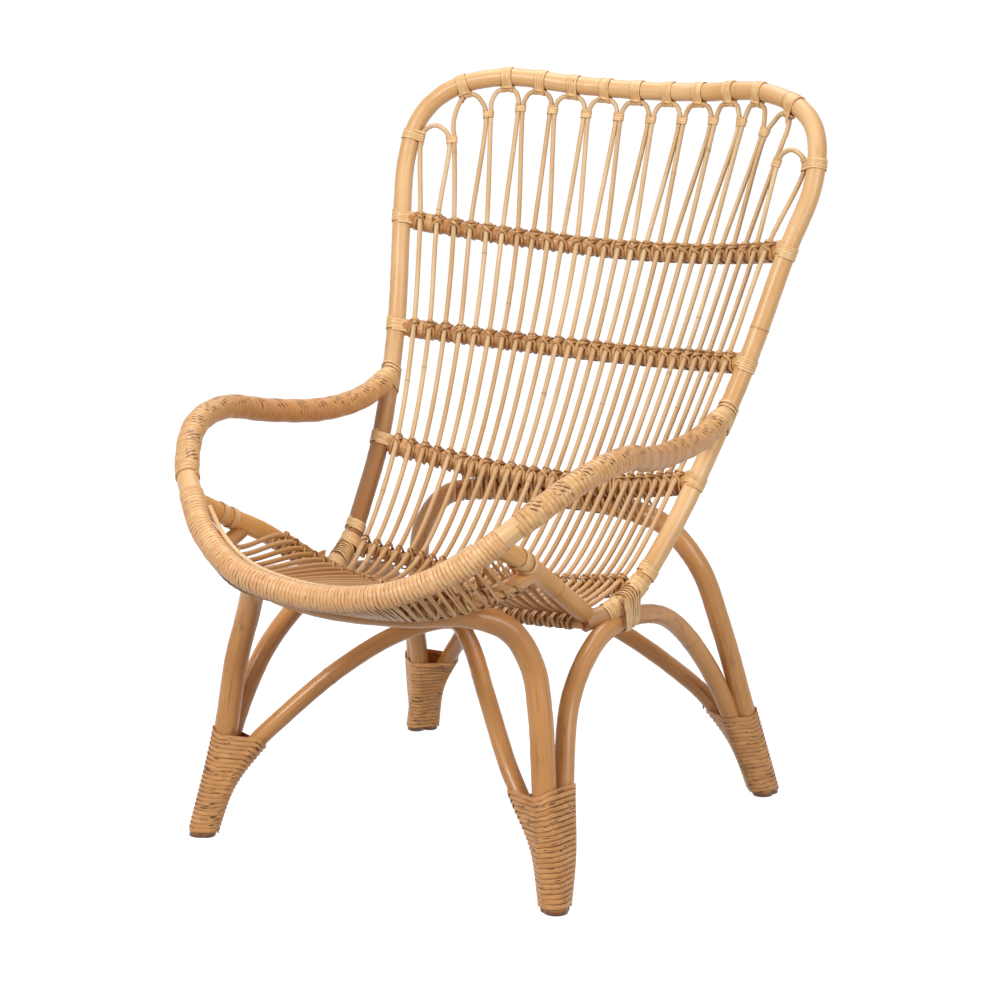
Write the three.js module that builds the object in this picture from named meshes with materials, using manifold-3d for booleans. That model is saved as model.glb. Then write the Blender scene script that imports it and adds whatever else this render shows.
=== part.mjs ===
// Rattan lounge armchair made of bent cane poles, hairpin hoops and peel bindings.
// Lengths are in millimetres. X runs to the sitter's left, Y to the back and Z up from the floor.
// Depths are measured back from the middle of the four feet, reaches forward from it.

import * as THREE from 'three';
import { mergeVertices } from 'three/addons/utils/BufferGeometryUtils.js';
import Module from 'manifold-3d';

const wasm = await Module();
wasm.setup();

// Cane and peel
const framePoleRadius = 13.5;
const armPoleRadius = 15;
const sideRailRadius = 13.5;
const frontLegRadius = 16.5;
const rearLegRadius = 15;
const sideArchRadius = 13.5;
const braceRadius = 12.3;
const backRailRadius = 11;
const seatRailRadius = 9;
const frontSeatRailRadius = 11;
const hoopRodRadius = 3.6;
const edgeRodRadius = 3;
const peelThickness = 2;
const touchGap = 0.3;
const crossingGap = 0.9;
const turnGap = 0.9;
const windingGap = 0.6;

// Feet
const frontFootHalfWidth = 290;
const rearFootHalfWidth = 303;
const footReach = 293;
const bindingHeight = 150;
const bindingFloorGap = 5;
const frontFootSpread = 9;
const rearFootSpread = 15;
const sideArchDepth = -18;

// Stations of the back frame: half width, depth and height of its centre line
const heelHalfWidth = 212;
const heelReach = 91;
const heelHeight = 334;
const bendHalfWidth = 239;
const bendDepth = 8;
const bendHeight = 366;
const lowerRailHalfWidth = 264;
const lowerRailDepth = 127;
const lowerRailHeight = 493;
const middleRailHalfWidth = 294;
const middleRailDepth = 217;
const middleRailHeight = 648;
const upperRailHalfWidth = 323;
const upperRailDepth = 278;
const upperRailHeight = 801;
const shoulderHalfWidth = 340;
const shoulderDepth = 318;
const shoulderHeight = 885;
const crownHalfWidth = 213;
const crownDepth = 404;
const crownRise = 123;
const crownBow = 23;
const crownDip = 11;

// How far each cross rail bows back and sags between its ends
const upperRailBow = 86;
const upperRailSag = 33;
const middleRailBow = 79;
const middleRailSag = 22.5;
const lowerRailBow = 56;
const lowerRailSag = 41;
const bendRailBow = 30;
const bendRailSag = 31;
const rearSeatRailSag = 6;
const middleSeatRailReach = 218;
const middleSeatRailSag = 62;

// Arm and front rail, one pole
const armJointHeight = 578;
const armWaistHalfWidth = 281;
const armWaistDepth = 99;
const armWaistHeight = 559;
const armFlareHalfWidth = 322;
const armFlareReach = 175;
const armFlareHeight = 589;
const armBendHalfWidth = 268;
const armBendReach = 334;
const armBendHeight = 533;
const frontRailHalfWidth = 92;
const frontRailReach = 430;
const frontRailHeight = 417;
const frontRailLift = 11;

// Seat front
const frontSeatRailSetBack = 38;
const frontSeatRailDrop = 14;
const frontSeatRailEndReach = 265;
const seatFrontHalfWidth = 230;

// Hoops
const hoopCount = 13;
const hoopPitch = 53.5;
const tieDrop = 42;
const endHoopRise = 20;
const lashingLength = 20;

// Sides of the faceted sections
const poleSides = 8;
const railSides = 8;
const rodSides = 5;

// Turns of peel
const footTurns = 15;
const footTurnSteps = 8;
const lashingTurns = 3;
const lashingTurnSteps = 8;

const up = new THREE.Vector3(0, 0, 1);

function point(x, y, z) {
  return new THREE.Vector3(x, y, z);
}

function flipped(p) {
  return point(-p.x, p.y, p.z);
}

function between(a, b, share) {
  return new THREE.Vector3().lerpVectors(a, b, share);
}

// A smooth centre line whose spans each take their own number of steps.
class PoleLine extends THREE.CatmullRomCurve3 {
  constructor(points, spanSteps = 2) {
    super(points, false, 'centripetal');
    const spans = points.length - 1;
    this.spanSteps = Array.isArray(spanSteps) ? spanSteps : Array(spans).fill(spanSteps);
    this.steps = this.spanSteps.reduce((sum, count) => sum + count, 0);
  }

  pointShare(stepShare) {
    let left = stepShare * this.steps;
    let span = 0;
    while (span < this.spanSteps.length - 1 && left > this.spanSteps[span]) {
      left -= this.spanSteps[span];
      span += 1;
    }
    return (span + left / this.spanSteps[span]) / this.spanSteps.length;
  }

  getPointAt(stepShare, target) {
    return this.getPoint(this.pointShare(stepShare), target);
  }

  getTangentAt(stepShare, target) {
    return this.getTangent(this.pointShare(stepShare), target);
  }

  shareAlong(run) {
    return this.getUtoTmapping(run / this.getLength());
  }
}

// A stretch of another line, from one point share to another.
class PoleStretch extends THREE.Curve {
  constructor(line, fromShare, toShare, steps) {
    super();
    Object.assign(this, { line, fromShare, toShare, steps });
  }

  getPoint(share, target) {
    return this.line.getPoint(THREE.MathUtils.lerp(this.fromShare, this.toShare, share), target);
  }

  getPointAt(share, target) {
    return this.getPoint(share, target);
  }

  getTangentAt(share, target) {
    const tangent = this.line.getTangent(THREE.MathUtils.lerp(this.fromShare, this.toShare, share), target);
    return tangent.multiplyScalar(Math.sign(this.toShare - this.fromShare));
  }
}

// The same line, its two ends moved outward.
class LongerLine extends THREE.Curve {
  constructor(line, reach) {
    super();
    Object.assign(this, { line, reach, steps: line.steps });
  }

  getPointAt(stepShare) {
    const outward = this.reach * ((stepShare >= 1 ? 1 : 0) - (stepShare <= 0 ? 1 : 0));
    return this.line.getPointAt(stepShare).addScaledVector(this.line.getTangentAt(stepShare), outward);
  }

  getTangentAt(stepShare) {
    return this.line.getTangentAt(stepShare);
  }
}

// The straight pieces that a line with steps is built as
class Chain extends THREE.Curve {
  constructor(line) {
    super();
    this.points = [];
    for (let step = 0; step <= line.steps; step += 1) {
      this.points.push(line.getPointAt(step / line.steps));
    }
  }

  spanOf(share) {
    const spans = this.points.length - 1;
    const span = THREE.MathUtils.clamp(Math.floor(share * spans), 0, spans - 1);
    return [this.points[span], this.points[span + 1], share * spans - span];
  }

  getPoint(share) {
    return between(...this.spanOf(share));
  }

  getTangent(share) {
    const [from, to] = this.spanOf(share);
    return new THREE.Vector3().subVectors(to, from).normalize();
  }
}

// The whole line from its left half, which is listed from the end to the middle.
function mirroredLine(half, halfSteps) {
  const other = half.slice(0, -1).reverse().map(flipped);
  const steps = Array.isArray(halfSteps) ? [...halfSteps, ...halfSteps.slice().reverse()] : halfSteps;
  return new PoleLine([...half, ...other], steps);
}

// The point share at which a measure of the line, falling or rising all the way, reaches a value.
function shareWhere(line, measure, value, fromShare, toShare) {
  let low = fromShare;
  let high = toShare;
  const rising = measure(line.getPoint(high)) > measure(line.getPoint(low));
  const halvings = 40;
  for (let halving = 0; halving < halvings; halving += 1) {
    const middle = (low + high) / 2;
    const below = measure(line.getPoint(middle)) < value;
    if (below === rising) {
      low = middle;
    } else {
      high = middle;
    }
  }
  return (low + high) / 2;
}

function nearestShare(line, target) {
  const trials = 2000;
  let best = 0;
  let least = Infinity;
  for (let trial = 0; trial <= trials; trial += 1) {
    const distance = line.getPoint(trial / trials).distanceTo(target);
    if (distance < least) {
      best = trial / trials;
      least = distance;
    }
  }
  return best;
}

function pointAtHeight(line, height, fromShare, toShare) {
  return line.getPoint(shareWhere(line, (p) => p.z, height, fromShare, toShare));
}

function pointAtDepth(line, depth, fromShare, toShare) {
  return line.getPoint(shareWhere(line, (p) => p.y, depth, fromShare, toShare));
}

function pointAcross(line, across, fromShare, toShare) {
  return line.getPoint(shareWhere(line, (p) => p.x, across, fromShare, toShare));
}

function blend(a, b, [acrossShare, backShare, upShare]) {
  return point(
    THREE.MathUtils.lerp(a.x, b.x, acrossShare),
    THREE.MathUtils.lerp(a.y, b.y, backShare),
    THREE.MathUtils.lerp(a.z, b.z, upShare),
  );
}

function tube(line, radius, sides) {
  const corners = [];
  for (let i = 0; i < sides; i += 1) {
    const angle = (i / sides) * 2 * Math.PI;
    corners.push(new THREE.Vector2(radius * Math.cos(angle), radius * Math.sin(angle)));
  }
  return new THREE.ExtrudeGeometry(new THREE.Shape(corners), {
    steps: line.steps,
    bevelEnabled: false,
    extrudePath: line,
  });
}

function solidOf(geometry) {
  const plain = geometry.clone();
  plain.deleteAttribute('normal');
  plain.deleteAttribute('uv');
  const merged = mergeVertices(plain);
  return new wasm.Manifold(new wasm.Mesh({
    numProp: 3,
    vertProperties: new Float32Array(merged.attributes.position.array),
    triVerts: new Uint32Array(merged.index.array),
  }));
}

function geometryOf(solid) {
  const mesh = solid.getMesh();
  const geometry = new THREE.BufferGeometry();
  geometry.setAttribute('position', new THREE.BufferAttribute(mesh.vertProperties, 3));
  geometry.setIndex(new THREE.BufferAttribute(mesh.triVerts, 1));
  const faceted = geometry.toNonIndexed();
  faceted.computeVertexNormals();
  return faceted;
}

const poleCane = { color: 0xc99a63, roughness: 0.42, metalness: 0 };
const legCane = { color: 0xb8854f, roughness: 0.42, metalness: 0 };
const rodCane = { color: 0xd6ae78, roughness: 0.5, metalness: 0 };
const palePeel = { color: 0xe0bd86, roughness: 0.45, metalness: 0 };
const footPeel = { color: 0xc08a55, roughness: 0.5, metalness: 0 };

const chair = new THREE.Group();

function addPiece(name, geometry, finish) {
  const mesh = new THREE.Mesh(geometry, new THREE.MeshStandardMaterial(finish));
  mesh.name = name;
  chair.add(mesh);
}

// A cane is a line with a radius; its space is the same tube grown by the touching gap.
function cane(line, radius, sides) {
  const grown = radius + touchGap / Math.cos(Math.PI / sides);
  const solid = solidOf(tube(line, radius, sides));
  const space = solidOf(tube(new LongerLine(line, touchGap), grown, sides));
  return { line, radius, solid, space, chain: new Chain(line) };
}

function fitted(piece, neighbours) {
  return neighbours.reduce((solid, neighbour) => solid.subtract(neighbour.space), piece.solid);
}

function addCane(name, piece, finish, neighbours = []) {
  addPiece(name, geometryOf(fitted(piece, neighbours)), finish);
}

function eachSide(make) {
  make('left', (p) => p.clone());
  make('right', flipped);
}

// Back frame: two posts and the top rail in one bent pole
const heel = point(heelHalfWidth, -heelReach, heelHeight);
const bend = point(bendHalfWidth, bendDepth, bendHeight);
const lowerEnd = point(lowerRailHalfWidth, lowerRailDepth, lowerRailHeight);
const middleEnd = point(middleRailHalfWidth, middleRailDepth, middleRailHeight);
const upperEnd = point(upperRailHalfWidth, upperRailDepth, upperRailHeight);
const shoulder = point(shoulderHalfWidth, shoulderDepth, shoulderHeight);
const crown = point(crownHalfWidth, crownDepth, shoulderHeight + crownRise);
const crownMiddle = crown.clone().add(point(-crownHalfWidth, crownBow, -crownDip));
const underShares = [0.35, 0.55, 0.72];
const shinShares = [0.5, 0.49, 0.43];
const cornerShares = [[0.04, 0.29, 0.45], [0.19, 0.53, 0.71], [0.46, 0.73, 0.89]];
const crownShares = [0.5, 0.75, 0.7];
const frameLine = mirroredLine(
  [heel, blend(bend, heel, underShares), bend, blend(bend, lowerEnd, shinShares), lowerEnd, middleEnd,
    upperEnd, shoulder, ...cornerShares.map((shares) => blend(shoulder, crown, shares)), crown,
    blend(crown, crownMiddle, crownShares), crownMiddle],
  [2, 2, 2, 2, 2, 2, 2, 2, 2, 2, 2, 1, 1],
);
const frame = cane(frameLine, framePoleRadius, poleSides);
addCane('back_frame_pole', frame, poleCane);

// Arms and front rail in one bent pole, its ends butted on the posts
const armEnd = pointAtHeight(frameLine, armJointHeight, 0, 0.4);
const armWaist = point(armWaistHalfWidth, armWaistDepth, armWaistHeight);
const armFlare = point(armFlareHalfWidth, -armFlareReach, armFlareHeight);
const armBend = point(armBendHalfWidth, -armBendReach, armBendHeight);
const frontQuarter = point(frontRailHalfWidth, -frontRailReach, frontRailHeight + frontRailLift);
const frontMiddle = point(0, -frontRailReach, frontRailHeight);
const armShares = [[0.15, 0.35, -0.03], [0.66, 0.68, 0.4]];
const armDropShares = [0.22, 0.53, 0.2];
const frontBendShares = [[0.16, 0.27, 0.27], [0.36, 0.56, 0.56], [0.585, 0.77, 0.77], [0.81, 0.93, 0.92]];
const armLine = mirroredLine(
  [armEnd, armWaist, ...armShares.map((shares) => blend(armWaist, armFlare, shares)), armFlare,
    blend(armFlare, armBend, armDropShares), armBend,
    ...frontBendShares.map((shares) => blend(armBend, frontQuarter, shares)), frontQuarter, frontMiddle],
  2,
);
const arm = cane(armLine, armPoleRadius, poleSides);
addCane('arm_front_pole', arm, poleCane, [frame]);

// Peel wound over the arms and over the front rail, with a bare stretch at each front corner
const peelRadius = armPoleRadius + touchGap + peelThickness;
const armPeelShares = [0.008, 0.259];
const frontPeelShares = [0.284, 0.716];
const armPeelSteps = 12;
const frontPeelSteps = 14;
const frontPeel = cane(new PoleStretch(armLine, ...frontPeelShares, frontPeelSteps), peelRadius, poleSides);
addCane('front_rail_peel', frontPeel, palePeel, [arm]);
const armPeels = {
  left: cane(new PoleStretch(armLine, ...armPeelShares, armPeelSteps), peelRadius, poleSides),
  right: cane(
    new PoleStretch(armLine, 1 - armPeelShares[0], 1 - armPeelShares[1], armPeelSteps),
    peelRadius,
    poleSides,
  ),
};
eachSide((side) => addCane(`arm_peel_${side}`, armPeels[side], palePeel, [arm, frame]));

// Side rails, from the bare corner of the arm pole down to the heel of the post
const sideTopShare = 0.294;
const sideFoot = heel.clone().addScaledVector(up, framePoleRadius);
const sideTop = armLine.getPoint(sideTopShare);
const sideShares = [[0.13, 0.13, 0.14], [0.41, 0.49, 0.54], [0.95, 0.74, 0.77]];
const sideHalf = [sideFoot, ...sideShares.map((shares) => blend(sideFoot, sideTop, shares)), sideTop];
const sideRails = {};
eachSide((side, place) => {
  sideRails[side] = cane(new PoleLine(sideHalf.map(place), 2), sideRailRadius, poleSides);
  addCane(`side_rail_${side}`, sideRails[side], poleCane, [frame, arm, armPeels[side], frontPeel]);
});

// Cross rails, bowed back and sagging between the poles that carry their ends
const crossShares = [1, 0.86, 0.69, 0.5, 0.26, 0, -0.26, -0.5, -0.69, -0.86, -1];

function crossRail(end, bow, sag, radius) {
  const at = (share) => point(
    end.x * share,
    end.y + bow * (1 - share * share),
    end.z - sag * (1 - share * share),
  );
  const across = (share) => point(end.x, -2 * bow * share, 2 * sag * share).normalize();
  const points = crossShares.map(at);
  return { at, across, ...cane(new PoleLine(points, 1), radius, railSides) };
}

const upperRail = crossRail(upperEnd, upperRailBow, upperRailSag, backRailRadius);
const middleRail = crossRail(middleEnd, middleRailBow, middleRailSag, backRailRadius);
const lowerRail = crossRail(lowerEnd, lowerRailBow, lowerRailSag, backRailRadius);
const bendRail = crossRail(bend, bendRailBow, bendRailSag, seatRailRadius);
const rearSeatRail = crossRail(heel, 0, rearSeatRailSag, seatRailRadius);
const sideCrossing = pointAtDepth(sideRails.left.line, -middleSeatRailReach, 0, 1);
const middleSeatRail = crossRail(sideCrossing, 0, middleSeatRailSag, seatRailRadius);
addCane('back_rail_upper', upperRail, poleCane, [frame]);
addCane('back_rail_middle', middleRail, poleCane, [frame]);
addCane('back_rail_lower', lowerRail, poleCane, [frame]);
addCane('bend_rail', bendRail, legCane, [frame]);
addCane('seat_rail_rear', rearSeatRail, legCane, [frame, sideRails.left, sideRails.right]);
addCane('seat_rail_middle', middleSeatRail, legCane, [sideRails.left, sideRails.right]);

// Front seat rail, lashed behind the front rail, and the thin rod that covers the ends of the hoops
const frontSeatReach = frontRailReach - frontSeatRailSetBack;
const frontSeatMiddle = point(0, -frontSeatReach, frontRailHeight - frontSeatRailDrop);
const frontSeatEnd = pointAtDepth(sideRails.left.line, -frontSeatRailEndReach, 0, 1)
  .addScaledVector(up, -sideRailRadius);
const frontSeatShares = [[0.045, 0.355, 0.21], [0.16, 0.685, 0.54], [0.35, 0.89, 0.83], [0.58, 0.984, 0.96]];
const frontSeatLine = mirroredLine(
  [frontSeatEnd, ...frontSeatShares.map((shares) => blend(frontSeatEnd, frontSeatMiddle, shares)),
    frontSeatMiddle],
  2,
);
const frontSeatRail = cane(frontSeatLine, frontSeatRailRadius, railSides);
addCane('seat_rail_front', frontSeatRail, legCane, [sideRails.left, sideRails.right]);

const edgeRodShares = [0.312, 0.36, 0.41, 0.46, 0.5];
const edgeRodTurnShare = 0.0955;
function edgeRodPoint(share) {
  const tangent = armLine.getTangent(share);
  const inward = tangent.clone().cross(up).normalize();
  const above = inward.clone().cross(tangent).normalize();
  const angle = edgeRodTurnShare * 2 * Math.PI;
  const distance = peelRadius + touchGap + edgeRodRadius;
  return armLine.getPoint(share)
    .addScaledVector(inward, distance * Math.cos(angle))
    .addScaledVector(above, distance * Math.sin(angle));
}
const edgeRod = cane(mirroredLine(edgeRodShares.map(edgeRodPoint), 2), edgeRodRadius, rodSides);
addCane('front_edge_rod', edgeRod, rodCane, [frontPeel, sideRails.left, sideRails.right]);

// Hoops: thirteen hairpins of thin rod, lashed under the top rail, crossing in front of every rail
const backNormal = new THREE.Vector3().crossVectors(
  new THREE.Vector3().subVectors(upperRail.at(0), crownMiddle),
  point(1, 0, 0),
).normalize();
const frameMiddleRun = frameLine.getLength() / 2;
const hoopRunShares = [0, 1, 2, 3, 4, 5.35, 7.5];
const tieDropShares = [1, 1, 1, 1.1, 1.3, 1.66];
const outerTieSlideShare = 0.39;
const archShares = [[0.92, 0.52], [0.62, 0.12]];
const outerArchShares = [[0.74, 0.6], [0.4, 0.2]];
const endArchShares = [[0.14, 0.62], [0.5, 1], [0.86, 0.62]];
const lastHoop = (hoopCount - 1) / 2;
const contactDrop = framePoleRadius + touchGap + hoopRodRadius;

// A place on the frame line at a hoop, counted from the middle, with its directions along and inward
function frameAt(position) {
  const side = Math.sign(position);
  const whole = Math.floor(Math.abs(position));
  const rest = Math.abs(position) - whole;
  const next = Math.min(whole + 1, lastHoop);
  const run = hoopPitch * THREE.MathUtils.lerp(hoopRunShares[whole], hoopRunShares[next], rest);
  const share = frameLine.shareAlong(frameMiddleRun - side * run);
  const along = frameLine.getTangent(share).negate();
  const inward = new THREE.Vector3().crossVectors(along, backNormal).normalize();
  return { at: frameLine.getPoint(share), along, inward };
}

function contactAt(hoop) {
  const { at, along, inward } = frameAt(hoop);
  return { at: at.addScaledVector(inward, contactDrop), along, inward };
}

// Where one leg is tied to its neighbour, on the given side of the tie
function tiePoint(position, side) {
  const offset = side * (hoopRodRadius + touchGap / 2);
  const { at, along, inward } = frameAt(position);
  const tie = at.addScaledVector(inward, tieDrop * tieDropShares[Math.floor(Math.abs(position))]);
  if (Math.abs(position) < lastHoop - 1) {
    return tie.addScaledVector(along, offset);
  }
  const turned = Math.sign(position);
  return tie.addScaledVector(along, turned * tieDrop * outerTieSlideShare)
    .addScaledVector(upperRail.across(turned), offset);
}

function archSide(hoop, side) {
  const { at, along, inward } = contactAt(hoop);
  const tie = tiePoint(hoop + side / 2, -side);
  const reach = new THREE.Vector3().subVectors(tie, at);
  const shares = Math.abs(hoop + side / 2) > lastHoop - 1 ? outerArchShares : archShares;
  const points = shares.map(([alongShare, dropShare]) => at.clone()
    .addScaledVector(along, reach.dot(along) * alongShare)
    .addScaledVector(inward, reach.dot(inward) * dropShare)
    .addScaledVector(backNormal, reach.dot(backNormal) * dropShare));
  return [tie, ...points];
}

function hoopTop(hoop) {
  const { at } = contactAt(hoop);
  if (Math.abs(hoop) < lastHoop) {
    return [...archSide(hoop, -1), at, ...archSide(hoop, 1).reverse()];
  }
  const inner = -Math.sign(hoop);
  const tie = tiePoint(hoop + inner / 2, -inner);
  const arch = endArchShares.map(([alongShare, riseShare]) => between(at, tie, alongShare)
    .addScaledVector(up, endHoopRise * riseShare));
  return inner < 0 ? [tie, ...arch.reverse(), at] : [at, ...arch, tie];
}

const legRails = [
  { rail: frontSeatRail, halfWidth: frontSeatEnd.x - sideRailRadius },
  { rail: middleSeatRail, halfWidth: sideCrossing.x - sideRailRadius },
  { rail: rearSeatRail, halfWidth: heelHalfWidth - framePoleRadius },
  { rail: bendRail, halfWidth: bendHalfWidth - framePoleRadius },
  { rail: lowerRail, halfWidth: lowerRailHalfWidth - framePoleRadius },
  { rail: middleRail, halfWidth: middleRailHalfWidth - framePoleRadius },
  { rail: upperRail, halfWidth: upperRailHalfWidth - framePoleRadius },
];

// One leg of a hoop from the front rail over the seat rails and up the back rails
function legPoints(leg, top) {
  const share = (leg - hoopCount + 0.5) / hoopCount;
  const front = pointAcross(armLine, share * seatFrontHalfWidth, 0.3, 0.7);
  const onRails = legRails.map(({ rail, halfWidth }) => {
    const at = pointAcross(rail.line, share * halfWidth, 0, 1);
    const ahead = pointAcross(rail.line, share * halfWidth + touchGap, 0, 1);
    return { at, across: ahead.sub(at).normalize(), lift: rail.radius + crossingGap + hoopRodRadius };
  });
  const course = [front, ...onRails.map(({ at }) => at), top];
  const lifted = onRails.map(({ at, across, lift }, i) => {
    const tangent = new THREE.Vector3().subVectors(course[i + 2], course[i]);
    const normal = new THREE.Vector3().crossVectors(across, tangent).normalize();
    return at.clone().addScaledVector(normal, lift);
  });
  return [front, ...lifted];
}

const legSteps = [1, 1, 1, 2, 2, 2, 1, 1];
function hoopLine(index) {
  const top = hoopTop(index - lastHoop);
  const rightLeg = legPoints(2 * index, top[0]);
  const leftLeg = legPoints(2 * index + 1, top[top.length - 1]).reverse();
  const steps = [...legSteps, ...Array(top.length - 1).fill(1), ...legSteps.slice().reverse()];
  return new PoleLine([...rightLeg, ...top, ...leftLeg], steps);
}

function numbered(name, index) {
  return `${name}_${String(index + 1).padStart(2, '0')}`;
}

const legCrossings = [frontPeel, ...legRails.map(({ rail }) => rail), edgeRod, frame];
const hoops = [];
for (let index = 0; index < hoopCount; index += 1) {
  hoops.push(cane(hoopLine(index), hoopRodRadius, rodSides));
  addCane(numbered('hoop', index), hoops[index], rodCane, legCrossings);
}

// Legs: three poles meet in each foot, cut level with the floor
const floorBox = new THREE.BoxGeometry(frontRailReach * 3, frontRailReach * 3, bindingHeight);
const floorSpace = { space: solidOf(floorBox.translate(0, 0, -bindingHeight / 2)) };
const frontFoot = point(frontFootHalfWidth, -footReach, 0);
const rearFoot = point(rearFootHalfWidth, footReach, 0);

// Starts a leg a little below the floor, so that the cut there is level.
function sunkFoot(foot, next) {
  const downward = new THREE.Vector3().subVectors(foot, next).normalize();
  return foot.clone().addScaledVector(downward, bindingFloorGap);
}

function archLine(foot, apex, shares) {
  const rise = shares.map((share) => blend(foot, apex, share));
  return mirroredLine([sunkFoot(foot, rise[0]), ...rise, apex], 2);
}

// The centre of a pole that touches another from below, turned towards the back by a share of a turn
function touching(at, turnShare, distance) {
  const angle = turnShare * 2 * Math.PI;
  return at.clone().add(point(0, Math.sin(angle) * distance, -Math.cos(angle) * distance));
}

const frontArchTurnShare = 0.159;
const rearArchTurnShare = 0.056;
const frontArchDrop = frontSeatRailRadius + touchGap + frontLegRadius;
const rearArchDrop = backRailRadius + touchGap + rearLegRadius;
const frontApex = touching(frontSeatMiddle, frontArchTurnShare, frontArchDrop);
const rearApex = touching(lowerRail.at(0), rearArchTurnShare, rearArchDrop);
const frontArchShares = [
  [0.1, -0.27, 0.365], [0.152, -0.43, 0.66], [0.205, -0.5, 0.815], [0.29, -0.29, 0.94], [0.43, 0.2, 1],
  [0.655, 0.72, 1],
];
const rearArchShares = [
  [0.066, 0.44, 0.33], [0.142, 0.72, 0.61], [0.23, 0.95, 0.83], [0.4, 1.06, 0.96], [0.66, 1.05, 1],
];
const frontArch = cane(archLine(frontFoot, frontApex, frontArchShares), frontLegRadius, poleSides);
const rearArch = cane(archLine(rearFoot, rearApex, rearArchShares), rearLegRadius, poleSides);
addCane('front_leg_arch', frontArch, legCane, [floorSpace]);
addCane('rear_leg_arch', rearArch, legCane, [floorSpace]);

const sideApex = pointAtDepth(frameLine, sideArchDepth, 0, 0.2)
  .addScaledVector(up, -(framePoleRadius + touchGap + sideArchRadius));
const sideFrontFoot = frontFoot.clone().add(point(0, frontFootSpread, 0));
const sideRearFoot = rearFoot.clone().add(point(0, -rearFootSpread, 0));
const sideFrontShares = [[0.15, 0.1, 0.2], [0.41, 0.185, 0.49], [0.76, 0.365, 0.78], [0.97, 0.69, 0.96]];
const sideRearShares = [[0.98, 0.6, 0.92], [0.75, 0.29, 0.65], [0.35, 0.08, 0.25]];
const sideFront = sideFrontShares.map((shares) => blend(sideFrontFoot, sideApex, shares));
const sideRear = sideRearShares.map((shares) => blend(sideRearFoot, sideApex, shares));
const sideArches = {};
eachSide((side, place) => {
  const points = [sunkFoot(sideFrontFoot, sideFront[0]), ...sideFront, sideApex, ...sideRear,
    sunkFoot(sideRearFoot, sideRear[sideRear.length - 1])];
  sideArches[side] = cane(new PoleLine(points.map(place), 2), sideArchRadius, poleSides);
  addCane(`side_arch_${side}`, sideArches[side], legCane, [floorSpace, frontArch, rearArch, frame]);
});

const braceDrop = seatRailRadius + touchGap + braceRadius;
const frontBraceApex = touching(rearSeatRail.at(0), 0, braceDrop);
const rearBraceApex = touching(bendRail.at(0), 0, braceDrop);
const braceShares = [
  [0.085, 0.08, 0.255], [0.23, 0.155, 0.45], [0.33, 0.23, 0.555], [0.58, 0.51, 0.8], [0.8, 0.8, 0.95],
];
const frontBraceFoot = frontFoot.clone().add(point(-frontFootSpread, 0, 0));
const rearBraceFoot = rearFoot.clone().add(point(-rearFootSpread, 0, 0));
const braceNeighbours = [floorSpace, frontArch, rearArch, sideArches.left, sideArches.right];
const frontBrace = cane(archLine(frontBraceFoot, frontBraceApex, braceShares), braceRadius, poleSides);
const rearBrace = cane(archLine(rearBraceFoot, rearBraceApex, braceShares), braceRadius, poleSides);
addCane('front_brace_arch', frontBrace, legCane, braceNeighbours);
addCane('rear_brace_arch', rearBrace, legCane, braceNeighbours);

// A bundle of poles seen along an axis; heights are measured on the axis from the origin.
function bundle(origin, axis, u, poles) {
  const v = new THREE.Vector3().crossVectors(axis, u);
  const heightOf = (p) => p.clone().sub(origin).dot(axis);
  const sections = (height) => poles.map(({ piece, fromShare, toShare }) => {
    const share = shareWhere(piece.chain, heightOf, height, fromShare, toShare);
    const centre = piece.chain.getPoint(share).sub(origin);
    const tangent = piece.chain.getTangent(share);
    const slope = [tangent.dot(u) / tangent.dot(axis), tangent.dot(v) / tangent.dot(axis)];
    return { centre: [centre.dot(u), centre.dot(v)], slope, radius: piece.radius };
  });
  return { origin, axis, u, v, sections };
}

// How far the bundle reaches in one direction, an oblique section of a round pole being an ellipse
function reachOf(sections, angle) {
  const [a, b] = [Math.cos(angle), Math.sin(angle)];
  return Math.max(...sections.map(({ centre, slope, radius }) => centre[0] * a + centre[1] * b
    + radius * Math.hypot(1, slope[0] * a + slope[1] * b)));
}

// The corner of the outline around the bundle between the two directions half a step away
function outlineCorner(wrapped, angle, halfStep, height, lift) {
  const sections = wrapped.sections(height);
  const before = reachOf(sections, angle - halfStep) + lift;
  const after = reachOf(sections, angle + halfStep) + lift;
  const scale = 1 / Math.sin(2 * halfStep);
  const x = (before * Math.sin(angle + halfStep) - after * Math.sin(angle - halfStep)) * scale;
  const y = (after * Math.cos(angle - halfStep) - before * Math.cos(angle + halfStep)) * scale;
  return wrapped.origin.clone().addScaledVector(wrapped.axis, height)
    .addScaledVector(wrapped.u, x).addScaledVector(wrapped.v, y);
}

// The rings of one strand of peel wound around a bundle, four corners to a ring
function strandRings(wrapped, { turns, turnSteps, from, to, heightAt }) {
  const pitch = (to - from) / (turns + 1);
  const halfWidth = (pitch - turnGap) / 2;
  const halfStep = Math.PI / turnSteps;
  const rings = [];
  for (let step = 0; step <= turns * turnSteps; step += 1) {
    const angle = step * 2 * halfStep;
    const middle = from + pitch / 2 + (pitch * step) / turnSteps;
    const corner = (along, lift) => {
      const height = heightAt(angle, along);
      return outlineCorner(wrapped, angle, halfStep, height, lift);
    };
    rings.push([
      corner(middle - halfWidth, windingGap),
      corner(middle + halfWidth, windingGap),
      corner(middle + halfWidth, windingGap + peelThickness),
      corner(middle - halfWidth, windingGap + peelThickness),
    ]);
  }
  return rings;
}

// The least distance between one turn and the next, measured on the points of the strand
function leastTurnGap(rings, turnSteps) {
  let least = Infinity;
  for (let step = turnSteps; step < rings.length; step += 1) {
    const below = rings[step - turnSteps];
    const above = rings[step];
    least = Math.min(least, below[1].distanceTo(above[0]), below[2].distanceTo(above[3]));
  }
  return least;
}

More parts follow.
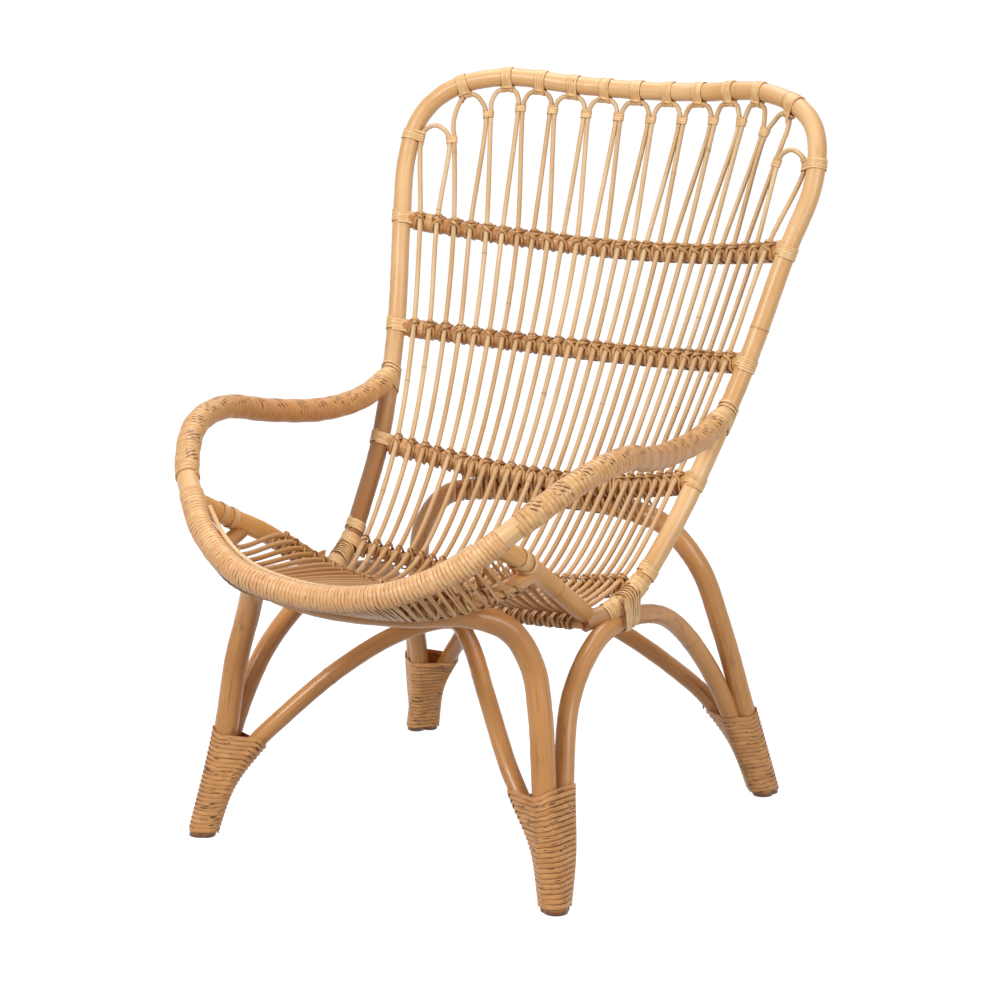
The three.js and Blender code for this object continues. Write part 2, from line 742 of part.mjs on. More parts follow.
function strandGeometry(rings) {
  const corners = rings[0].length;
  const positions = rings.flat().flatMap((p) => [p.x, p.y, p.z]);
  const index = [];
  for (let ring = 0; ring < rings.length - 1; ring += 1) {
    for (let corner = 0; corner < corners; corner += 1) {
      const [a, b] = [ring * corners + corner, ring * corners + ((corner + 1) % corners)];
      index.push(a, b, a + corners, b, b + corners, a + corners);
    }
  }
  const last = (rings.length - 1) * corners;
  index.push(0, 2, 1, 0, 3, 2, last, last + 1, last + 2, last, last + 2, last + 3);
  const geometry = new THREE.BufferGeometry();
  geometry.setAttribute('position', new THREE.Float32BufferAttribute(positions, 3));
  geometry.setIndex(index);
  return geometry.toNonIndexed();
}

let leastGap = Infinity;
function addWinding(name, finish, wrapped, turning) {
  const rings = strandRings(wrapped, turning);
  leastGap = Math.min(leastGap, leastTurnGap(rings, turning.turnSteps));
  const geometry = strandGeometry(rings);
  geometry.computeVertexNormals();
  addPiece(name, geometry, finish);
}

// Foot bindings: the turns are level at the floor and square to the leg at the top.
const footShare = 0.2;
const bindingLeanShare = 1.35;
function footTurning(wrapped, { piece, fromShare, toShare }) {
  const top = shareWhere(piece.chain, (p) => p.z, bindingHeight, fromShare, toShare);
  const tangent = piece.chain.getTangent(top).multiplyScalar(bindingLeanShare);
  const outward = [tangent.x / tangent.z, tangent.y / tangent.z];
  const heightAt = (angle, along) => {
    const reach = reachOf(wrapped.sections(along), angle);
    const lean = outward[0] * Math.cos(angle) + outward[1] * Math.sin(angle);
    return along - (lean * reach * along) / bindingHeight;
  };
  return { turns: footTurns, turnSteps: footTurnSteps, from: bindingFloorGap, to: bindingHeight, heightAt };
}

function wrapFoot(name, foot, poles) {
  const wrapped = bundle(foot, up, point(1, 0, 0), poles);
  addWinding(name, footPeel, wrapped, footTurning(wrapped, poles[0]));
}

eachSide((side, place) => {
  const near = side === 'left' ? [0, footShare] : [1, 1 - footShare];
  const sideNear = [0, footShare];
  const sideFar = [1, 1 - footShare];
  const pole = (piece, [fromShare, toShare]) => ({ piece, fromShare, toShare });
  wrapFoot(`foot_binding_front_${side}`, place(frontFoot), [
    pole(frontArch, near), pole(sideArches[side], sideNear), pole(frontBrace, near),
  ]);
  wrapFoot(`foot_binding_rear_${side}`, place(rearFoot), [
    pole(rearArch, near), pole(sideArches[side], sideFar), pole(rearBrace, near),
  ]);
});

// Lashings that hold each hoop up to the frame
const frameLashShare = 0.06;
const hoopLashShare = 0.1;
for (let index = 0; index < hoopCount; index += 1) {
  const { at, along, inward } = frameAt(index - lastHoop);
  const contact = contactAt(index - lastHoop).at;
  const nearest = nearestShare(hoops[index].chain, contact);
  const frameNear = nearestShare(frame.chain, at);
  const wrapped = bundle(at, along, inward, [
    { piece: frame, fromShare: frameNear - frameLashShare, toShare: frameNear + frameLashShare },
    { piece: hoops[index], fromShare: nearest - hoopLashShare, toShare: nearest + hoopLashShare },
  ]);
  addWinding(numbered('hoop_lashing', index), palePeel, wrapped, {
    turns: lashingTurns,
    turnSteps: lashingTurnSteps,
    from: -lashingLength / 2,
    to: lashingLength / 2,
    heightAt: (angle, alongAxis) => alongAxis,
  });
}
console.log('least gap between turns, mm:', leastGap.toFixed(3));

// The box of the whole chair is centred over the floor's origin.
const box = new THREE.Box3().setFromObject(chair);
const centre = box.getCenter(new THREE.Vector3());
chair.children.forEach((mesh) => mesh.geometry.translate(-centre.x, -centre.y, -box.min.z));

export default chair;
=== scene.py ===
import math

import bmesh
import bpy
import numpy as np
from mathutils import Matrix, Vector


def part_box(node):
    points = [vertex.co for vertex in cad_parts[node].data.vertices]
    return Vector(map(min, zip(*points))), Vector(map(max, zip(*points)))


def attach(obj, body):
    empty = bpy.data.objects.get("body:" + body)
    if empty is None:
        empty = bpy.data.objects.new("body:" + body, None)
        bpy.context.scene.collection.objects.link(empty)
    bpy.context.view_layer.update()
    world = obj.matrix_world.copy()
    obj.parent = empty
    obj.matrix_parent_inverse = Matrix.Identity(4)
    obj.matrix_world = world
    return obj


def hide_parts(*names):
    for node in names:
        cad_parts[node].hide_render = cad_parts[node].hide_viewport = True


# Rattan lounge armchair: bent poles, hairpin hoops of thin cane, and peel wound round the joints.
# Sizes are in millimetres as on the bench, and go into the meshes in metres.
# X runs to the sitter's left, Y to the back and Z up.

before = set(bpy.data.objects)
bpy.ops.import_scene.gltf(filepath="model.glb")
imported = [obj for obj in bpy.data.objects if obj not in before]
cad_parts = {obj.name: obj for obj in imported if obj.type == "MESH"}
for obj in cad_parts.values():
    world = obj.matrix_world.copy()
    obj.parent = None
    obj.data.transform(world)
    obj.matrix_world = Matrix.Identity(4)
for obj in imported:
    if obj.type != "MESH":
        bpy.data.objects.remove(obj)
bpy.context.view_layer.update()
mm = 0.001
scene = bpy.context.scene

feet = {"frontHalfWidth": 290, "rearHalfWidth": 303, "reach": 293, "frontSpread": 9,
        "rearSpread": 15, "sunk": 5}
heelReach = 91
touchGap = 0.3
railLow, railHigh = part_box("seat_rail_rear")  # a straight rail, that far before the feet's middle
centring = (railLow.y + railHigh.y) / 2 / mm + heelReach
print("frame loaded, centring", round(centring, 2), "mm")


# Small helpers for lines

def vec(x, y, z):
    return np.array((x, y, z), float)


def unit(v):
    return v / np.linalg.norm(v, axis=-1, keepdims=True)


def blend(a, b, shares):
    # a point between two others for each row of three shares
    return a + (b - a) * np.asarray(shares)


def turned(u, v, angle):
    # two directions at right angles, turned in their plane
    return u * np.cos(angle) + v * np.sin(angle), v * np.cos(angle) - u * np.sin(angle)


def runsOf(places):
    return np.concatenate(([0], np.cumsum(np.linalg.norm(np.diff(places, axis=0), axis=1))))


up = vec(0, 0, 1)
wholeTurn = 2 * math.pi


class CaneLine:
    # a smooth centre line through its points, with centripetal spacing
    def __init__(self, points):
        self.points = p = np.array(points, float)
        self.hull = np.vstack((2 * p[0] - p[1], p, 2 * p[-1] - p[-2]))

    def at(self, share):
        spans = len(self.points) - 1
        place = np.clip(np.atleast_1d(np.asarray(share, float)), 0, 1) * spans
        index = np.clip(place.astype(int), 0, spans - 1)
        t = (place - index)[:, None]
        p0, p1, p2, p3 = (self.hull[index + k] for k in range(4))
        d0, d1, d2 = (np.sqrt(np.linalg.norm(b - a, axis=1))[:, None]
                      for a, b in ((p0, p1), (p1, p2), (p2, p3)))
        m1 = ((p1 - p0) / d0 - (p2 - p0) / (d0 + d1) + (p2 - p1) / d1) * d1
        m2 = ((p2 - p1) / d1 - (p3 - p1) / (d1 + d2) + (p3 - p2) / d2) * d1
        found = (p1 + m1 * t + (3 * (p2 - p1) - 2 * m1 - m2) * t ** 2
                 + (2 * (p1 - p2) + m1 + m2) * t ** 3)
        return found if np.ndim(share) else found[0]

    def tangent(self, share, step=1e-4):
        low, high = np.clip(np.subtract(share, step), 0, 1), np.clip(np.add(share, step), 0, 1)
        return unit(self.at(high) - self.at(low))

    def shareWhere(self, axis, value, low=0.0, high=1.0):
        rising = self.at(high)[axis] > self.at(low)[axis]
        for _ in range(40):
            middle = (low + high) / 2
            if (self.at(middle)[axis] < value) == rising:
                low = middle
            else:
                high = middle
        return (low + high) / 2

    def where(self, axis, value, low=0.0, high=1.0):
        return self.at(self.shareWhere(axis, value, low, high))

    def lengths(self, count=200):
        return runsOf(self.at(np.linspace(0, 1, count + 1)))

    def shareAlong(self, run, count=200):
        return np.interp(run, self.lengths(count), np.linspace(0, 1, count + 1))

    def shareBeyond(self, share, distance, count=2000):
        run = np.interp(share, np.linspace(0, 1, count + 1), self.lengths(count))
        return self.shareAlong(run + distance, count)

    def near(self, share, reach):
        return self.at(self.shareBeyond(share, np.linspace(-reach, reach, 80)))

    def nearest(self, target):
        shares = np.linspace(0, 1, 2001)
        return shares[np.argmin(np.linalg.norm(self.at(shares) - target, axis=1))]

    def evenShares(self, gap, low=0.0, high=1.0):
        shares = np.linspace(low, high, 800)
        runs = runsOf(self.at(shares))
        count = max(int(round(runs[-1] / gap)), 2)
        return np.interp(np.linspace(0, runs[-1], count + 1), runs, shares)


def mirrored(half):
    half = np.array(half, float)
    return CaneLine(np.vstack((half, half[-2::-1] * (-1, 1, 1))))


# Node trees: a socket that does sums, and one method for every other node

class Wire:
    def __init__(self, bench, socket):
        self.bench, self.socket = bench, socket

    def join(self, operation, other, swapped=False):
        pair = (other, self) if swapped else (self, other)
        vectors = any(isinstance(x, Wire) and x.socket.type == "VECTOR" for x in pair)
        kind = "ShaderNodeVectorMath" if vectors else "ShaderNodeMath"
        if vectors:
            pair = tuple((x,) * 3 if isinstance(x, (int, float)) else x for x in pair)
        return self.bench.node(kind, {"operation": operation}, {0: pair[0], 1: pair[1]})

    def __add__(self, other): return self.join("ADD", other)
    def __radd__(self, other): return self.join("ADD", other, True)
    def __sub__(self, other): return self.join("SUBTRACT", other)
    def __rsub__(self, other): return self.join("SUBTRACT", other, True)
    def __mul__(self, other): return self.join("MULTIPLY", other)
    def __rmul__(self, other): return self.join("MULTIPLY", other, True)
    def __truediv__(self, other): return self.join("DIVIDE", other)
    def __rtruediv__(self, other): return self.join("DIVIDE", other, True)


class Bench:
    family = "ShaderNode"  # what the kinds of the tree's own nodes begin with

    def __init__(self, tree):
        self.tree = tree

    def node(self, kind, settings=None, inputs=None, out=0):
        made = self.tree.nodes.new(kind if kind.startswith("Shader") else self.family + kind)
        for name, value in (settings or {}).items():
            setattr(made, name, value)
        for key, value in (inputs or {}).items():
            self.feed(made.inputs[key], value)
        return Wire(self, made.outputs[out])

    def feed(self, socket, value):
        if isinstance(value, Wire):
            self.tree.links.new(value.socket, socket)
        else:
            socket.default_value = value

    def sum(self, operation, *values):
        return self.node("ShaderNodeMath", {"operation": operation}, dict(enumerate(values)))

    def vectorSum(self, operation, *values, out=0):
        return self.node("ShaderNodeVectorMath", {"operation": operation},
                         dict(enumerate(values)), out)

    def wander(self, place, detail, roughness=0.5):
        # a slow uneven change, from 0 to 1
        return self.node("ShaderNodeTexNoise", {"noise_dimensions": "1D"},
                         {"W": place, "Detail": detail, "Roughness": roughness})


# Geometry trees

socketKinds = {"length": "NodeSocketFloat", "share": "NodeSocketFloat", "count": "NodeSocketInt",
               "material": "NodeSocketMaterial"}
stripInputs = {"Rounding": "count", "Strip Width": "length", "Strip Thickness": "length"}
# how far the rings, the thickness and the turns stray from even
stray = {"seedRun": 7.3, "ring": 1.4, "thickness": 0.05, "turnRate": 2.3, "turnStart": 9.1,
         "turnRise": 0.0007}


class GrowTree(Bench):
    # a geometry tree with named inputs, which ends in Realize Instances and Set Material
    family = "GeometryNode"

    def __init__(self, name, inputs):
        super().__init__(bpy.data.node_groups.new(name, "GeometryNodeTree"))
        face = self.tree.interface
        face.new_socket("Geometry", in_out="INPUT", socket_type="NodeSocketGeometry")
        for label, kind in {**inputs, "Material": "material"}.items():
            socket = face.new_socket(label, in_out="INPUT", socket_type=socketKinds[kind])
            if kind == "length":
                socket.subtype = "DISTANCE"
        face.new_socket("Geometry", in_out="OUTPUT", socket_type="NodeSocketGeometry")
        self.entry = self.tree.nodes.new("NodeGroupInput")

    def given(self, label="Geometry"):
        return Wire(self, self.entry.outputs[label])

    def attribute(self, name, kind="FLOAT"):
        return self.node("InputNamedAttribute", {"data_type": kind}, {"Name": name})

    def store(self, geometry, name, value, kind="FLOAT"):
        return self.node("StoreNamedAttribute", {"data_type": kind, "domain": "POINT"},
                         {"Geometry": geometry, "Name": name, "Value": value})

    def end(self, geometry):
        smooth = self.node("SetShadeSmooth", None, {"Geometry": geometry})
        real = self.node("RealizeInstances", None, {"Geometry": smooth})
        dressed = self.node("SetMaterial", None,
                            {"Geometry": real, "Material": self.given("Material")})
        self.tree.links.new(dressed.socket, self.tree.nodes.new("NodeGroupOutput").inputs[0])
        return self.tree

    def sweep(self, curve, profile, scale):
        # the grain attribute holds the place in the section and the run along the piece, in metres
        run = self.node("SplineParameter", out=1)
        curve = self.store(curve, "run", run)
        curve = self.store(curve, "swell", scale)
        place = self.node("InputPosition")
        profile = self.store(profile, "section", place, "FLOAT_VECTOR")
        mesh = self.node("CurveToMesh", None, {
            "Curve": curve, "Profile Curve": profile, "Scale": scale, "Fill Caps": True})
        section = self.attribute("section", "FLOAT_VECTOR") * self.attribute("swell")
        offset = self.node("ShaderNodeCombineXYZ", None, {
            "Z": self.attribute("run") + self.attribute("seed") * stray["seedRun"]})
        return self.store(mesh, "grain", section + offset, "FLOAT_VECTOR")


def poleTree():
    # a round pole with a swelling at each ring of the cane
    g = GrowTree("canePole", {"Sides": "count", "Ring Spacing": "length", "Ring Width": "length",
                              "Ring Swell": "share"})
    curve = g.node("MeshToCurve", None, {"Mesh": g.given()})
    run = g.node("SplineParameter", out=1)
    slide = g.wander(run * 3 + g.attribute("seed") * 11, 0.0)
    phase = run / g.given("Ring Spacing") + slide * stray["ring"] + g.attribute("seed") * 5
    off = g.sum("ABSOLUTE", g.sum("FRACT", phase) - 0.5) * g.given("Ring Spacing")
    ring = g.sum("MAXIMUM", 1 - off / g.given("Ring Width"), 0.0)
    curve = g.store(curve, "ring", ring)
    uneven = g.wander(run * 9 + g.attribute("seed") * 23, 1.0)
    scale = g.attribute("reach") * (1 + ring * ring * g.given("Ring Swell")
                                    + (uneven - 0.5) * stray["thickness"])
    circle = g.node("CurvePrimitiveCircle", None,
                    {"Resolution": g.given("Sides"), "Radius": 1.0})
    return g.end(g.sweep(curve, circle, scale))


def stripProfile(g):
    # the edge attribute runs from -1 to 1 across the strip
    flat = g.node("CurvePrimitiveQuadrilateral", None, {
        "Width": g.given("Strip Thickness"), "Height": g.given("Strip Width")})
    rounded = g.node("FilletCurve", {"mode": "POLY"}, {
        "Curve": flat, "Count": g.given("Rounding"),
        "Radius": g.given("Strip Thickness") * 0.46, "Limit Radius": True})
    across = g.vectorSum("DOT_PRODUCT", g.node("InputPosition"), (0, 2, 0), out=1)
    return g.store(rounded, "edge", across / g.given("Strip Width"))


def stripTree():
    # a flat strip of peel swept along any path that says which way is out
    g = GrowTree("peelStrip", stripInputs)
    curve = g.node("MeshToCurve", None, {"Mesh": g.given()})
    curve = g.node("SetCurveNormal", {"mode": "FREE"},
                   {"Curve": curve, "Normal": g.attribute("outward", "FLOAT_VECTOR")})
    return g.end(g.sweep(curve, stripProfile(g), g.attribute("reach")))


def windingTree():
    # one strip wound round a path at a pitch, its turns a little uneven
    g = GrowTree("peelWinding", {
        **stripInputs, "Pitch": "length", "Steps": "count", "Uneven": "length",
        "Patch Spacing": "length", "Patch Bulge": "length"})
    path = g.node("MeshToCurve", None, {"Mesh": g.given()})
    length = g.node("CurveLength", None, {"Curve": path})
    path = g.node("ResampleCurve", None, {
        "Curve": path, "Count": length / g.given("Pitch") * g.given("Steps")})
    normal = g.node("InputNormal")
    tangent = g.node("InputTangent")
    side = g.vectorSum("CROSS_PRODUCT", tangent, normal)
    turns = g.node("InputIndex") / g.given("Steps")
    angle = turns * wholeTurn
    outward = normal * g.sum("COSINE", angle) + side * g.sum("SINE", angle)
    path = g.store(path, "outward", outward, "FLOAT_VECTOR")
    path = g.store(path, "ahead", tangent, "FLOAT_VECTOR")
    level = g.vectorSum("NORMALIZE", g.vectorSum("CROSS_PRODUCT", tangent, (0, 0, 1)))
    around = g.sum("ARCTAN2", g.vectorSum("DOT_PRODUCT", outward, level, out=1),
                   g.vectorSum("DOT_PRODUCT", outward, (0, 0, 1), out=1))
    path = g.store(path, "along", g.node("SplineParameter", out=1))
    path = g.store(path, "around", around)
    shift = g.wander(turns * stray["turnRate"] + stray["turnStart"], 1.0) - 0.5
    out = g.attribute("outward", "FLOAT_VECTOR")
    bulge = g.sum("COSINE", g.attribute("along") / g.given("Patch Spacing") * wholeTurn)
    lift = (g.attribute("reach") + g.given("Strip Thickness") * 0.5 + shift * stray["turnRise"]
            - bulge * g.given("Patch Bulge"))
    offset = out * lift + g.attribute("ahead", "FLOAT_VECTOR") * (shift * g.given("Uneven"))
    path = g.node("SetPosition", None, {"Geometry": path, "Offset": offset})
    path = g.node("SetCurveNormal", {"mode": "FREE"}, {"Curve": path, "Normal": out})
    return g.end(g.sweep(path, stripProfile(g), 1.0))


canePole, peelStrip, peelWinding = poleTree(), stripTree(), windingTree()
print("geometry trees made")


# Finishes: the first look of each kind holds every value, and the others say what differs

def rgb(red, green, blue):
    return (*(((c / 255 + 0.055) / 1.055) ** 2.4 for c in (red, green, blue)), 1.0)


class Finish(Bench):
    def __init__(self, name, values):
        self.values = {key: rgb(*value) if isinstance(value, tuple) else value
                       for key, value in values.items()}
        self.material = bpy.data.materials.new(name)
        self.material.use_nodes = True
        super().__init__(self.material.node_tree)
        self.shader = self.tree.nodes["Principled BSDF"]

    def attribute(self, name, out="Fac"):
        return self.node("Attribute", {"attribute_name": name}, None, out)

    def grain(self, across, along, detail=2.0, roughness=0.5):
        # noise drawn out along the piece, with its fineness across and along it
        place = self.node("Mapping", None, {
            "Vector": self.attribute("grain", "Vector"), "Scale": (across, across, along)})
        return self.node("TexNoise", None, {
            "Vector": place, "Scale": 1.0, "Detail": detail, "Roughness": roughness})

    def above(self, value, low, high):
        return self.node("MapRange", {"interpolation_type": "SMOOTHSTEP"}, {
            "Value": value, "From Min": low, "From Max": high})

    def tint(self, colour, share, name):
        return self.node("Mix", {"data_type": "RGBA"},
                         {0: share, 6: colour, 7: self.values[name]}, 2)

    def darkSole(self, colour, share, name):
        # painted shade, darker close to the floor, where the look asks for it
        sole = self.values.get("soleHeight")
        if not sole:
            return colour
        height = self.node("SeparateXYZ", None,
                           {0: self.node("TexCoord", out=3)}, 2)
        return self.tint(colour, (1 - self.above(height, sole * 0.4, sole)) * share, name)

    def woven(self):
        # painted shadows of short slanting gaps in patches along an arm, where a strand passes under the
        # turns
        v = self.values
        along = self.attribute("along") + self.attribute("edge") * v["halfStrip"]
        around = self.attribute("around") * v["armRadius"] - v["patchMiddle"]
        place = self.sum("FRACT", along / v["patchSpacing"])
        middle = self.sum("ABSOLUTE", place - 0.5) * v["patchSpacing"]
        patch = ((1 - self.above(middle, v["patchHalf"] * 0.8, v["patchHalf"]))
                 * (1 - self.above(self.sum("ABSOLUTE", around), v["patchReach"] * 0.8,
                                   v["patchReach"])))
        slanted = self.sum("SINE", (along + around * 0.4) / v["gapPitch"] * wholeTurn)
        rows = self.sum("SINE", (around + along * 0.5) / v["rowPitch"] * wholeTurn)
        return patch * self.above(slanted, 0.0, 0.3) * self.above(rows, -0.55, -0.3)

    def end(self, colour, roughness, height):
        bump = self.node("Bump", None, {
            "Strength": self.values["bumpStrength"], "Distance": self.values["bumpDepth"],
            "Height": height})
        for socket, value in (("Base Color", colour), ("Roughness", roughness), ("Normal", bump),
                              ("Coat Weight", self.values["coat"]),
                              ("Coat Roughness", self.values["coatRoughness"]),
                              ("Specular IOR Level", self.values["shine"])):
            self.feed(self.shader.inputs[socket], value)
        return self.material


def caneFinish(name, look):
    m = Finish(name, look)
    values, ring = m.values, m.attribute("ring")
    streaks = m.grain(values["streakFineness"], 9, 4.0, 0.6)
    fibres, clouds = m.grain(900, 45), m.grain(28, 7)
    stains = m.above(m.grain(60, 16, 3.0, 0.7), 0.60, 0.78)
    seam = m.above(ring, 0.55, 0.95) * values["ringShare"]
    colour = m.tint(values["deep"], m.above(clouds, 0.3, 0.7), "light")
    # the tone paints shade on the low parts of the rods and the side rails, and darkens the frame's lower
    # ends
    colour = m.tint(colour, m.attribute("tone"), "shade")
    colour = m.tint(colour, m.above(streaks, 0.5, 0.8) * values["streakShare"], "dark")
    colour = m.tint(colour, stains * values["stainShare"], "stain")
    # dark ring seams, and painted shade close to the floor on the legs
    colour = m.darkSole(m.tint(colour, seam, "stain"), 0.8, "stain")
    return m.end(colour, values["roughness"] + streaks * 0.16 + seam * 0.2,
                 streaks * 0.6 + fibres * 0.25 + ring * 0.5)


def peelFinish(name, look):
    m = Finish(name, look)
    values, edge = m.values, m.sum("ABSOLUTE", m.attribute("edge"))
    strands = m.grain(700, 20, 3.0, 0.6)
    patches = m.grain(20, 30)
    flecks = m.above(m.grain(300, 60, 2.0, 0.7), values["fleckFrom"], values["fleckFrom"] + 0.06)
    # painted shade in the grooves between the turns, stronger in patches
    seamShadePatches = m.above(m.grain(40, 55), 0.4, 0.6)
    seam = m.above(edge, 0.62, 0.86) * (seamShadePatches * 0.7 + 0.3) * values["seamShare"]
    colour = m.tint(values["deep"], m.above(patches, 0.3, 0.7), "light")
    # the tone paints shade along the arms' long sides and darkens stretches of the front rail; on knots and
    # loops it is a random tone
    colour = m.tint(colour, m.attribute("tone") * values["shadeShare"], "shade")
    colour = m.tint(colour, m.above(strands, 0.5, 0.85) * 0.4, "dark")
    if "turn" in values:  # neighbouring turns differ, and some lie close without a seam
        along = m.attribute("along")
        turn = m.above(m.wander(along / values["turnLength"], 2.0, 0.6), 0.42, 0.62)
        colour = m.tint(colour, turn * values["turnShare"], "turn")
        smooth = m.wander((along + 3.3) / values["smoothLength"], 2.0, 0.6)
        seam = seam * (m.above(smooth, 0.4, 0.6) * 0.8 + 0.2)
    # the seams take painted shade, and close to the floor the foot bindings take painted shade
    colour = m.darkSole(m.tint(colour, seam, "dark"), 0.7, "fleck")
    colour = m.tint(colour, flecks * values["fleckShare"], "fleck")
    height = strands * 0.7 + patches * 0.2
    if "patchSpacing" in values:
        # painted shadows in slanting dashes on the arms, also sunk by the bump
        gapShadows = m.woven()
        colour = m.tint(colour, gapShadows * 0.92, "fleck")
        height = height - gapShadows * 1.5
    return m.end(colour, values["roughness"] + strands * 0.2, height)


caneLooks = {
    "honeyPole": {
        "light": (236, 192, 138), "deep": (220, 168, 108), "dark": (186, 126, 68),
        "shade": (152, 96, 48), "stain": (134, 80, 36), "streakFineness": 260,
        "streakShare": 0.4, "stainShare": 0.25, "ringShare": 0.5, "roughness": 0.34,
        "bumpStrength": 0.25, "bumpDepth": 0.0006, "coat": 0.18, "coatRoughness": 0.16,
        "shine": 0.4},
    "tanLegPole": {
        "light": (210, 150, 88), "deep": (186, 124, 62), "dark": (132, 78, 32),
        "shade": (140, 86, 42), "stain": (84, 44, 18), "stainShare": 0.5,
        "streakShare": 0.55, "ringShare": 0.25, "coat": 0.24, "coatRoughness": 0.12,
        "soleHeight": 0.009},
    "honeySideRail": {
        "light": (240, 184, 116), "deep": (222, 160, 90), "shine": 0.22, "coat": 0.06},
    "brownRail": {
        "light": (216, 158, 96), "deep": (186, 126, 68), "dark": (130, 78, 34),
        "shade": (140, 86, 44), "stain": (96, 54, 24), "stainShare": 0.45},
    "strawRod": {
        "light": (234, 203, 160), "deep": (216, 176, 126), "dark": (176, 130, 80),
        "shade": (184, 128, 70), "stain": (140, 90, 48), "streakFineness": 500,
        "stainShare": 0.35, "roughness": 0.42, "coat": 0.08}}
peelLooks = {
    "palePeel": {
        "light": (244, 204, 148), "deep": (224, 174, 114), "dark": (136, 84, 38),
        "shade": (204, 140, 80), "shadeShare": 0.8, "seamShare": 0.9,
        "fleck": (92, 50, 20), "fleckFrom": 0.66, "fleckShare": 0.75, "roughness": 0.36,
        "bumpStrength": 0.3, "bumpDepth": 0.0004, "coat": 0.15, "coatRoughness": 0.2,
        "shine": 0.4},
    "railPeel": {
        "turn": (226, 158, 112), "turnShare": 0.6, "turnLength": 0.0065,
        "smoothLength": 0.03, "seamShare": 1.0},
    "armPeel": {
        "light": (238, 194, 136), "deep": (216, 162, 102), "turn": (196, 142, 84),
        "turnShare": 0.35, "turnLength": 0.0065, "smoothLength": 0.03, "seamShare": 0.7,
        "halfStrip": 0.0031, "armRadius": 0.0165, "patchSpacing": 0.038, "patchHalf": 0.0092,
        "patchReach": 0.0115, "patchMiddle": -0.009, "gapPitch": 0.0056, "rowPitch": 0.0125},
    "knotPeel": {
        "light": (232, 186, 128), "deep": (206, 152, 92), "dark": (104, 60, 24),
        "shade": (172, 116, 64), "shadeShare": 0.6, "seamShare": 0.95},
    "footPeel": {
        "light": (226, 166, 104), "deep": (198, 138, 80), "dark": (118, 70, 32),
        "fleck": (66, 34, 12), "fleckFrom": 0.6, "fleckShare": 0.9, "seamShare": 0.75,
        "soleHeight": 0.009}}
finishes = {}
for maker, looks, first in ((caneFinish, caneLooks, "honeyPole"), (peelFinish, peelLooks, "palePeel")):
    for name, look in looks.items():
        finishes[name] = maker(name, {**looks[first], **look})
print("finishes made")


# Pieces: paths go into a mesh, and a tree grows the piece on them

def pathMesh(name, paths):
    # each path holds points and, if it needs them, outward directions, a reach, a seed and a tone
    mesh = bpy.data.meshes.new(name)
    points, edges = [], []
    layers = {"outward": [], "reach": [], "seed": [], "tone": []}
    for path in paths:
        places = np.asarray(path["points"], float)
        start, count = len(points), len(places)
        points.extend(places)
        edges.extend((start + i, start + i + 1) for i in range(count - 1))
        ahead = unit(np.gradient(places, axis=0))
        out = np.broadcast_to(path.get("outward", up), (count, 3))
        across = out - ahead * np.sum(out * ahead, axis=1, keepdims=True)
        layers["outward"].extend(unit(across + 1e-9))
        for label, usual in (("reach", 1.0), ("seed", 0.0), ("tone", 0.0)):
            layers[label].extend(np.broadcast_to(path.get(label, usual), count))
    mesh.from_pydata((np.array(points) * mm + (0, centring * mm, 0)).tolist(), edges, [])
    for label, values in layers.items():
        kind, field = ("FLOAT_VECTOR", "vector") if label == "outward" else ("FLOAT", "value")
        layer = mesh.attributes.new(label, kind, "POINT")
        layer.data.foreach_set(field, np.array(values, np.float32).ravel())
    return mesh


def make(name, paths, tree, sizes, finish, nodes=()):
    # an input takes the size of the same name, and its lengths go in as metres
    obj = bpy.data.objects.new(name, pathMesh(name, paths))
    scene.collection.objects.link(obj)
    modifier = obj.modifiers.new("grow", "NODES")
    modifier.node_group = tree
    given = {**sizes, "material": finishes[finish]}
    for item in tree.interface.items_tree:
        key = item.name[0].lower() + item.name[1:].replace(" ", "")
        if item.in_out == "INPUT" and key in given:
            isLength = getattr(item, "subtype", "") == "DISTANCE"
            modifier[item.identifier] = given[key] * mm if isLength else given[key]
    graph = bpy.context.evaluated_depsgraph_get()
    grown = bpy.data.meshes.new_from_object(obj.evaluated_get(graph), depsgraph=graph,
                                            preserve_all_data_layers=True)
    obj.modifiers.remove(modifier)
    obj.data = grown
    for label in ("outward", "reach", "run", "swell", "section", "ahead"):
        if label in grown.attributes:
            grown.attributes.remove(grown.attributes[label])
    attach(obj, "root")
    if nodes:
        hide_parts(*nodes)
    return obj


# Back frame, arms and front rail

backFrame = {
    "radius": 13.5,
    "heel": vec(212, -heelReach, 334), "bend": vec(239, 8, 366), "lower": vec(264, 127, 493),
    "middle": vec(294, 217, 648), "upper": vec(323, 278, 801), "shoulder": vec(340, 318, 885),
    "crown": vec(213, 404, 1008), "crownBow": 23, "crownDip": 11,
    "underShares": (0.35, 0.55, 0.72), "shinShares": (0.5, 0.49, 0.43),
    "cornerShares": ((0.04, 0.29, 0.45), (0.19, 0.53, 0.71), (0.46, 0.73, 0.89)),
    "crownShares": (0.5, 0.75, 0.7)}


def frameLineFrom(v):
    top = vec(0, v["crown"][1] + v["crownBow"], v["crown"][2] - v["crownDip"])
    half = [v["heel"], blend(v["bend"], v["heel"], v["underShares"]), v["bend"],
            blend(v["bend"], v["lower"], v["shinShares"]), v["lower"], v["middle"], v["upper"],
            v["shoulder"], *blend(v["shoulder"], v["crown"], v["cornerShares"]), v["crown"],
            blend(v["crown"], top, v["crownShares"]), top]
    return mirrored(half), top


frameLine, crownMiddle = frameLineFrom(backFrame)

